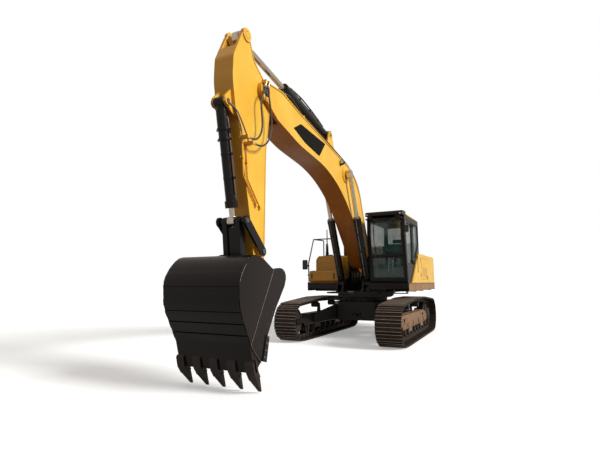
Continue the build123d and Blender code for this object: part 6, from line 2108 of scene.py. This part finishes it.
    def build(self) -> None:
        """Builds every part of the housing."""
        self.slots()
        self.latches()
        self.top()
        self.tail()


@dataclass
class Cab:
    """Brow, gaskets, wiper, handles and lamps of the cab, and the controls inside it."""

    rig: Rig
    inner: float = 0.470
    outer: float = 1.455
    sill: Flat = (-0.930, 1.470)
    brow: Flat = (-1.150, 2.700)
    head: Flat = (-1.132, 3.110)
    pane: Flat = (0.560, 1.365)
    floor: float = 1.560
    guard: tuple[Flat, ...] = (
        (-1.320, 3.185), (-1.320, 3.255), (-1.280, 3.305), (-0.980, 3.325), (-0.900, 3.312),
        (-0.900, 3.240), (-1.120, 3.200),
    )
    lamps_x: Flat = (0.530, 1.395)
    lamp_z: float = 3.222
    panes_z: tuple[Flat, Flat] = ((1.600, 2.120), (2.200, 3.110))
    rail: tuple[Place, ...] = (
        (1.440, -1.000, 1.860), (1.478, -1.050, 1.880), (1.484, -1.085, 2.000), (1.484, -1.160, 2.700),
        (1.480, -1.150, 3.020), (1.440, -1.120, 3.060),
    )
    handle: tuple[float, ...] = (-1.010, 2.030, -0.860, 2.100)
    grip: tuple[Place, ...] = (
        (1.462, -0.990, 2.064), (1.488, -0.970, 2.066), (1.488, -0.900, 2.066), (1.462, -0.880, 2.064),
    )
    mirror: tuple[float, ...] = (1.470, 2.740, 1.585, 2.925)
    mirror_glass: tuple[float, ...] = (1.478, 2.748, 1.577, 2.917)
    mirror_arm: tuple[Place, ...] = (
        (1.455, -1.080, 2.880), (1.500, -1.170, 2.900), (1.530, -1.230, 2.890),
    )
    travel_x: Flat = (0.890, 1.010)
    sticks_x: Flat = (0.650, 1.270)
    monitor: tuple[float, ...] = (-0.860, 2.230, -0.830, 2.410)

    def front(self, z: float) -> float:
        """Distance along Y of the slanted front at a height."""
        low, high = (self.sill, self.brow) if z < self.brow[1] else (self.brow, self.head)
        return low[0] + (high[0] - low[0]) * (z - low[1]) / (high[1] - low[1])

    def brow_guard(self) -> None:
        """Thick black guard over the roof's front edge, with its lamps."""
        guard = Shape().plate(self.guard, self.inner + 0.012, self.outer - 0.004, 0.02)
        self.rig.piece(guard, "roof_front_guard", BLACK, "upper", 0.010)
        rims, lens = Shape(), Shape()
        for x in self.lamps_x:
            rims.lathe(
                (x, -1.322, self.lamp_z), (0, -1, 0), [(-0.010, 0.030), (0.012, 0.030), (0.016, 0.026)],
                24,
            )
            lens.lathe(
                (x, -1.336, self.lamp_z), (0, -1, 0), [(0.0, 0.025), (0.004, 0.021), (0.006, 0.008)], 24
            )
        self.rig.piece(rims, "guard_lamp_rims", BLACK, "upper", 0.001)
        self.rig.piece(lens, "guard_lamp_lenses", LENS, "upper")

    def gaskets(self) -> None:
        """Rubber seals round the panes."""
        seals = Shape()
        low, high = self.pane
        for z0, z1 in self.panes_z:
            levels = [z0, *(z for z in (self.brow[1],) if z0 < z < z1), z1]
            left = [Vector((low, self.front(z) - 0.002, z)) for z in levels]
            right = [Vector((high, self.front(z) - 0.002, z)) for z in reversed(levels)]
            line = [*left, *right, left[0]]
            seals.tube(
                [a.lerp(b, t / 6) for a, b in zip(line, line[1:]) for t in range(6)] + [line[-1]],
                0.008, 8,
            )
        for line in self.rig.rims("cab_shell", Axis.X, self.outer)[1:3]:
            seals.tube([*line, line[0]], 0.007, 8)
        self.rig.piece(seals, "cab_window_seals", RUBBER, "upper")
        door = Shape()
        for line in self.rig.rims("cab_door", Axis.X, self.outer)[1:2]:
            door.tube([*line, line[0]], 0.007, 8)
        if door.points:
            self.rig.piece(door, "door_window_seal", RUBBER, "cab_door")

    def trim(self) -> None:
        """Wiper, grab rail, door handle and mirror."""
        wiper = Shape()
        foot = Vector((0.660, self.front(2.165) - 0.010, 2.165))
        tip = Vector((0.640, self.front(2.860) - 0.030, 2.860))
        wiper.lathe(foot, (0, -1, 0), [(-0.010, 0.030), (0.020, 0.028), (0.026, 0.012)], 18)
        wiper.tube([foot + Vector((0, -0.018, 0)), foot + Vector((0.0, -0.034, 0.10)), tip], 0.008, 8)
        wiper.tube([tip + Vector((0.012, 0.012, -0.34)), tip + Vector((0.012, 0.012, 0.20))], 0.009, 6)
        self.rig.piece(wiper, "front_wiper", PLASTIC, "upper", 0.001)
        rail = Shape().curve(self.rail, 0.013, 12)
        self.rig.piece(rail, "cab_grab_rail", GREY_PAINT, "upper")
        handle = Shape().plate(rect(*self.handle), 1.456, 1.466, 0.015)
        handle.curve(self.grip, 0.009, 10)
        self.rig.piece(handle, "door_handle", GREY_PLASTIC, "cab_door", 0.001)
        arm = Shape().curve(self.mirror_arm, 0.010, 10)
        arm.plate(rect(*self.mirror), -1.262, -1.232, 0.03, Axis.Y)
        self.rig.piece(arm, "cab_mirror", PLASTIC, "upper", 0.005)
        face = Shape().plate(rect(*self.mirror_glass), -1.2325, -1.230, 0.026, Axis.Y)
        self.rig.piece(face, "cab_mirror_face", MIRROR, "upper")

    def controls(self) -> None:
        """Travel levers, pedals, joysticks, monitor and mat inside the cab."""
        levers, knobs, screen = Shape(), Shape(), Shape()
        for x in self.travel_x:
            levers.curve(
                [(x, -0.640, self.floor), (x, -0.660, 1.78), (x, -0.610, 2.02), (x, -0.560, 2.16)],
                0.010, 10,
            )
            knobs.lathe(
                (x, -0.555, 2.150), (0, 0.25, 1),
                [(0.0, 0.017), (0.04, 0.021), (0.09, 0.020), (0.105, 0.010)], 16,
            )
            knobs.prism(
                rect(x - 0.045, self.floor + 0.03, x + 0.045, self.floor + 0.16), -0.745, -0.725, Axis.Y
            )
        for x in self.sticks_x:
            levers.tube([(x, -0.350, 2.215), (x, -0.365, 2.300)], 0.012, 10)
            knobs.lathe(
                (x, -0.365, 2.290), (0, -0.15, 1),
                [(0.0, 0.024), (0.03, 0.018), (0.08, 0.026), (0.125, 0.028), (0.145, 0.016)], 18,
            )
            knobs.lathe((x, -0.350, 2.212), (0, 0, 1), [(0.0, 0.052), (0.03, 0.038), (0.05, 0.018)], 18)
        screen.plate(rect(*self.monitor), 0.580, 0.780, 0.02)
        screen.tube([(0.620, -0.850, 1.60), (0.640, -0.845, 2.24)], 0.018, 10)
        knobs.box((0.530, -0.80, self.floor - 0.002), (1.390, 0.560, self.floor + 0.006))
        self.rig.piece(levers, "control_levers", ZINC, "upper")
        self.rig.piece(knobs, "control_knobs", PLASTIC, "upper", 0.002)
        self.rig.piece(screen, "monitor", PLASTIC, "upper", 0.004)

    def build(self) -> None:
        """Builds every part of the cab."""
        self.brow_guard()
        self.gaskets()
        self.trim()
        self.controls()


@dataclass
class Seat:
    """Operator's seat: swollen cloth pads with sewn channels, a shell and armrests."""

    rig: Rig
    middle: float = 0.960
    half: float = 0.225
    voxel: float = 0.009
    pressure: float = 4.0
    most: float = 0.012
    frames: int = 20
    channel_x: float = 0.135
    channel_width: float = 0.009
    channel_depth: float = 0.009
    shell: tuple[Flat, ...] = ((0.150, 2.16), (0.168, 2.16), (0.172, 2.56), (0.158, 2.57))
    base: tuple[float, ...] = (-0.330, 2.000, 0.165, 2.040)
    armrest: tuple[Flat, ...] = ((-0.240, 2.330), (0.060, 2.345), (0.060, 2.385), (-0.240, 2.372))
    cushion: tuple[Flat, ...] = (
        (-0.335, 2.035), (-0.335, 2.105), (-0.270, 2.135), (0.070, 2.120), (0.095, 2.035)
    )
    back: tuple[Flat, ...] = (
        (0.020, 2.155), (0.045, 2.135), (0.110, 2.145), (0.155, 2.560), (0.125, 2.575), (0.060, 2.560)
    )
    rest: tuple[Flat, ...] = (
        (0.080, 2.600), (0.095, 2.590), (0.150, 2.592), (0.158, 2.690), (0.105, 2.695), (0.085, 2.680)
    )

    def swell(self, piece: bpy.types.Object) -> None:
        """Remeshes a pad and blows it up by a short cloth simulation, capped and applied.

        Args:
            piece: The pad.
        """
        scene = bpy.context.scene
        remesh = piece.modifiers.new("remesh", "REMESH")
        remesh.mode = "VOXEL"
        remesh.voxel_size = self.voxel
        self.apply(piece)
        start = [v.co.copy() for v in piece.data.vertices]
        cloth = piece.modifiers.new("cloth", "CLOTH")
        cloth.settings.use_pressure = True
        cloth.settings.uniform_pressure_force = self.pressure
        cloth.settings.effector_weights.gravity = 0.0
        cloth.settings.quality = 4
        for frame in range(1, self.frames + 1):
            scene.frame_set(frame)
        self.apply(piece)
        scene.frame_set(1)
        for vertex, old in zip(piece.data.vertices, start):
            move = vertex.co - old
            if move.length > self.most:
                vertex.co = old + move * (self.most / move.length)

    def apply(self, piece: bpy.types.Object) -> None:
        """Makes the modifiers' result the piece's own mesh."""
        graph = bpy.context.evaluated_depsgraph_get()
        mesh = bpy.data.meshes.new_from_object(piece.evaluated_get(graph), depsgraph=graph)
        piece.modifiers.clear()
        piece.data = mesh

    def sew(self, piece: bpy.types.Object, lines: Sequence[float]) -> None:
        """Presses sewn channels into a pad.

        Args:
            piece: The pad.
            lines: Places of the channels across X.
        """
        middle = sum((v.co for v in piece.data.vertices), Vector()) / len(piece.data.vertices)
        for vertex in piece.data.vertices:
            nearest = min(abs(vertex.co.x - line) for line in lines)
            depth = self.channel_depth * math.exp(-((nearest / self.channel_width) ** 2))
            away = middle - vertex.co
            away.x = 0.0
            if away.length:
                vertex.co += away.normalized() * depth

    def pad(
        self, name: str, outline: Sequence[Flat], half: float, lines: Sequence[float]
    ) -> bpy.types.Object:
        """Makes one pad of the seat.

        Args:
            name: Name of the pad.
            outline: Its side outline.
            half: Half its width.
            lines: Places of its sewn channels across X.

        Returns:
            The pad.
        """
        shape = Shape().plate(outline, self.middle - half, self.middle + half, 0.035)
        piece = self.rig.piece(shape, name, SEAT_CLOTH, "upper")
        self.swell(piece)
        self.sew(piece, lines)
        smooth = piece.modifiers.new("smooth", "SUBSURF")
        smooth.levels = 1
        smooth.render_levels = 1
        piece.data.shade_smooth()
        coat(piece, SEAT_CLOTH)
        return piece

    def build(self) -> None:
        """Builds the pads, the shell round them and the armrests."""
        sides = (self.middle - self.channel_x, self.middle + self.channel_x)
        cushion = self.pad("seat_cushion", self.cushion, self.half, sides)
        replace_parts(cushion, "seat")
        self.pad("seat_back", self.back, self.half - 0.005, sides)
        self.pad("seat_headrest", self.rest, 0.120, (self.middle,))
        shell = Shape().plate(self.shell, self.middle - 0.20, self.middle + 0.20, 0.006)
        shell.plate(rect(*self.base), self.middle - 0.235, self.middle + 0.235, 0.02)
        for x in (self.middle - 0.05, self.middle + 0.05):
            shell.tube([(x, 0.135, 2.54), (x, 0.125, 2.62)], 0.007, 8)
        self.rig.piece(shell, "seat_shell", PLASTIC, "upper", 0.004)
        arms = Shape()
        for sign in (-1.0, 1.0):
            x = self.middle + sign * 0.240
            arms.plate(self.armrest, x - 0.028, x + 0.028, 0.018)
        rests = self.rig.piece(arms, "seat_armrests", PLASTIC, "upper", 0.012)
        rests.data.shade_smooth()


@dataclass
class Machine:
    """Dresses the CAD nodes that stay as they are."""

    rig: Rig

    def build(self) -> None:
        """Gives each kept node its finish."""
        dress = self.rig.dress
        dress(
            BLACK, "car_body", "towing_eyes", "slew_ring", "platform", "cab_shell", "cab_door",
            "cab_visor",
        )
        dress(BLACK, "handrails", "exhaust", "seat_base")
        dress(YELLOW, "counterweight", "housing", "hood_lid", "left_door", "right_door", "step_box")
        dress(YELLOW, "cab_roof")
        dress(PIN_STEEL, "boom_foot_pin", "boom_cylinder_pins")
        dress(GLASS, "cab_glass", "door_glass")
        dress(IRON, "engine")


@dataclass
class Studio:
    """Floor, lights, world and camera of the photograph."""

    eye: Flat = (3.729, -9.809)
    eye_height: float = 1.509
    yaw: float = -26.36
    pitch: float = 7.78
    roll: float = -0.18
    lens: float = 24.88
    floor_size: float = 160.0
    sun_from: Place = (0.86, 0.02, 0.50)
    sun_strength: float = 3.3
    sun_spread: float = 18.0
    sensor: float = 36.0
    floor_dull: Colour = (0.30, 0.27, 0.245)
    floor_pale: tuple[Colour, Colour] = ((0.90, 0.90, 0.90), (0.93, 0.93, 0.93))
    world_strength: float = 0.34
    floor_glow: float = 0.32
    glossy_share: float = 0.28
    sky: Colour = (1.0, 0.945, 0.88)

    def floor(self) -> None:
        """Pale floor that is white to the eye and duller to bounced light."""
        half = self.floor_size / 2
        mesh = bpy.data.meshes.new("floor")
        mesh.from_pydata(
            [(-half, -half, 0), (half, -half, 0), (half, half, 0), (-half, half, 0)], [], [(0, 1, 2, 3)]
        )
        floor = placed("floor", mesh)
        g = Surface("studio_floor")
        path = g.add("ShaderNodeLightPath")
        shiny = g.sum("MULTIPLY", path.outputs["Is Glossy Ray"], self.glossy_share)
        seen = g.sum("MAXIMUM", path.outputs["Is Camera Ray"], shiny)
        seen = g.sum("MAXIMUM", seen, path.outputs["Is Transmission Ray"])
        speckle = g.blend(g.noise(3.0), *self.floor_pale)
        colour = g.blend(seen, self.floor_dull, speckle)
        glow = g.sum("MULTIPLY", seen, self.floor_glow)
        mesh.materials.append(g.finish(
            Base_Color=colour, Roughness=0.9, Specular_IOR_Level=0.0, Emission_Color=(1.0, 1.0, 1.0),
            Emission_Strength=glow,
        ))
        floor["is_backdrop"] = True

    def world(self) -> None:
        """White to the eye, softer as a light."""
        world = bpy.data.worlds.new("studio")
        bpy.context.scene.world = world
        g = Graph(world)
        path = g.add("ShaderNodeLightPath").outputs
        seen = g.sum("MAXIMUM", path["Is Camera Ray"], path["Is Transmission Ray"])
        shiny = g.sum("MULTIPLY", path["Is Glossy Ray"], self.glossy_share)
        back = g.add("ShaderNodeBackground")
        strength = g.span(g.sum("ADD", shiny, seen), 0.0, 1.0, self.world_strength, 1.0)
        g.link(strength, back.inputs["Strength"])
        g.link(g.blend(seen, self.sky, (1.0, 1.0, 1.0)), back.inputs["Color"])
        g.link(back.outputs[0], g.add("ShaderNodeOutputWorld").inputs["Surface"])

    def sun(self) -> None:
        """Soft key light from the cab's side and above."""
        lamp = bpy.data.lights.new("key", "SUN")
        lamp.energy = self.sun_strength
        lamp.angle = math.radians(self.sun_spread)
        key = placed("key", lamp)
        key.rotation_mode = "QUATERNION"
        key.rotation_quaternion = Vector(self.sun_from).to_track_quat("Z", "Y")

    def camera(self) -> None:
        """Camera at the photograph's place and angle."""
        data = bpy.data.cameras.new("photo_view")
        data.lens = self.lens
        data.sensor_width = self.sensor
        camera = placed("photo_view", data)
        yaw, pitch, roll = (math.radians(v) for v in (self.yaw, self.pitch, self.roll))
        ahead = Vector(
            (math.sin(yaw) * math.cos(pitch), math.cos(yaw) * math.cos(pitch), math.sin(pitch))
        )
        right = Vector((math.cos(yaw), -math.sin(yaw), 0.0))
        above = right.cross(ahead)
        side = math.cos(roll) * right + math.sin(roll) * above
        above = -math.sin(roll) * right + math.cos(roll) * above
        rows = [(side[i], above[i], -ahead[i], (*self.eye, self.eye_height)[i]) for i in range(3)]
        camera.matrix_world = Matrix((*rows, (0.0, 0.0, 0.0, 1.0)))
        bpy.context.scene.camera = camera

    def build(self) -> None:
        """Sets up the studio."""
        self.floor()
        self.world()
        self.sun()
        self.camera()
        bpy.context.scene.view_settings.view_transform = "Standard"


def main() -> None:
    """Builds every sub-assembly around the frame."""
    logging.basicConfig(level=logging.INFO, format="%(name)s: %(message)s")
    rig = Rig()
    Studio().build()
    parts = (
        Hoses, Machine, Tracks, Boom, Arm, Cylinders, Digging, Bucketwork, Undercarriage, Deck, Housing,
        Cab, Seat,
    )
    for part in parts:
        part(rig).build()


if __name__ == "__main__":
    main()
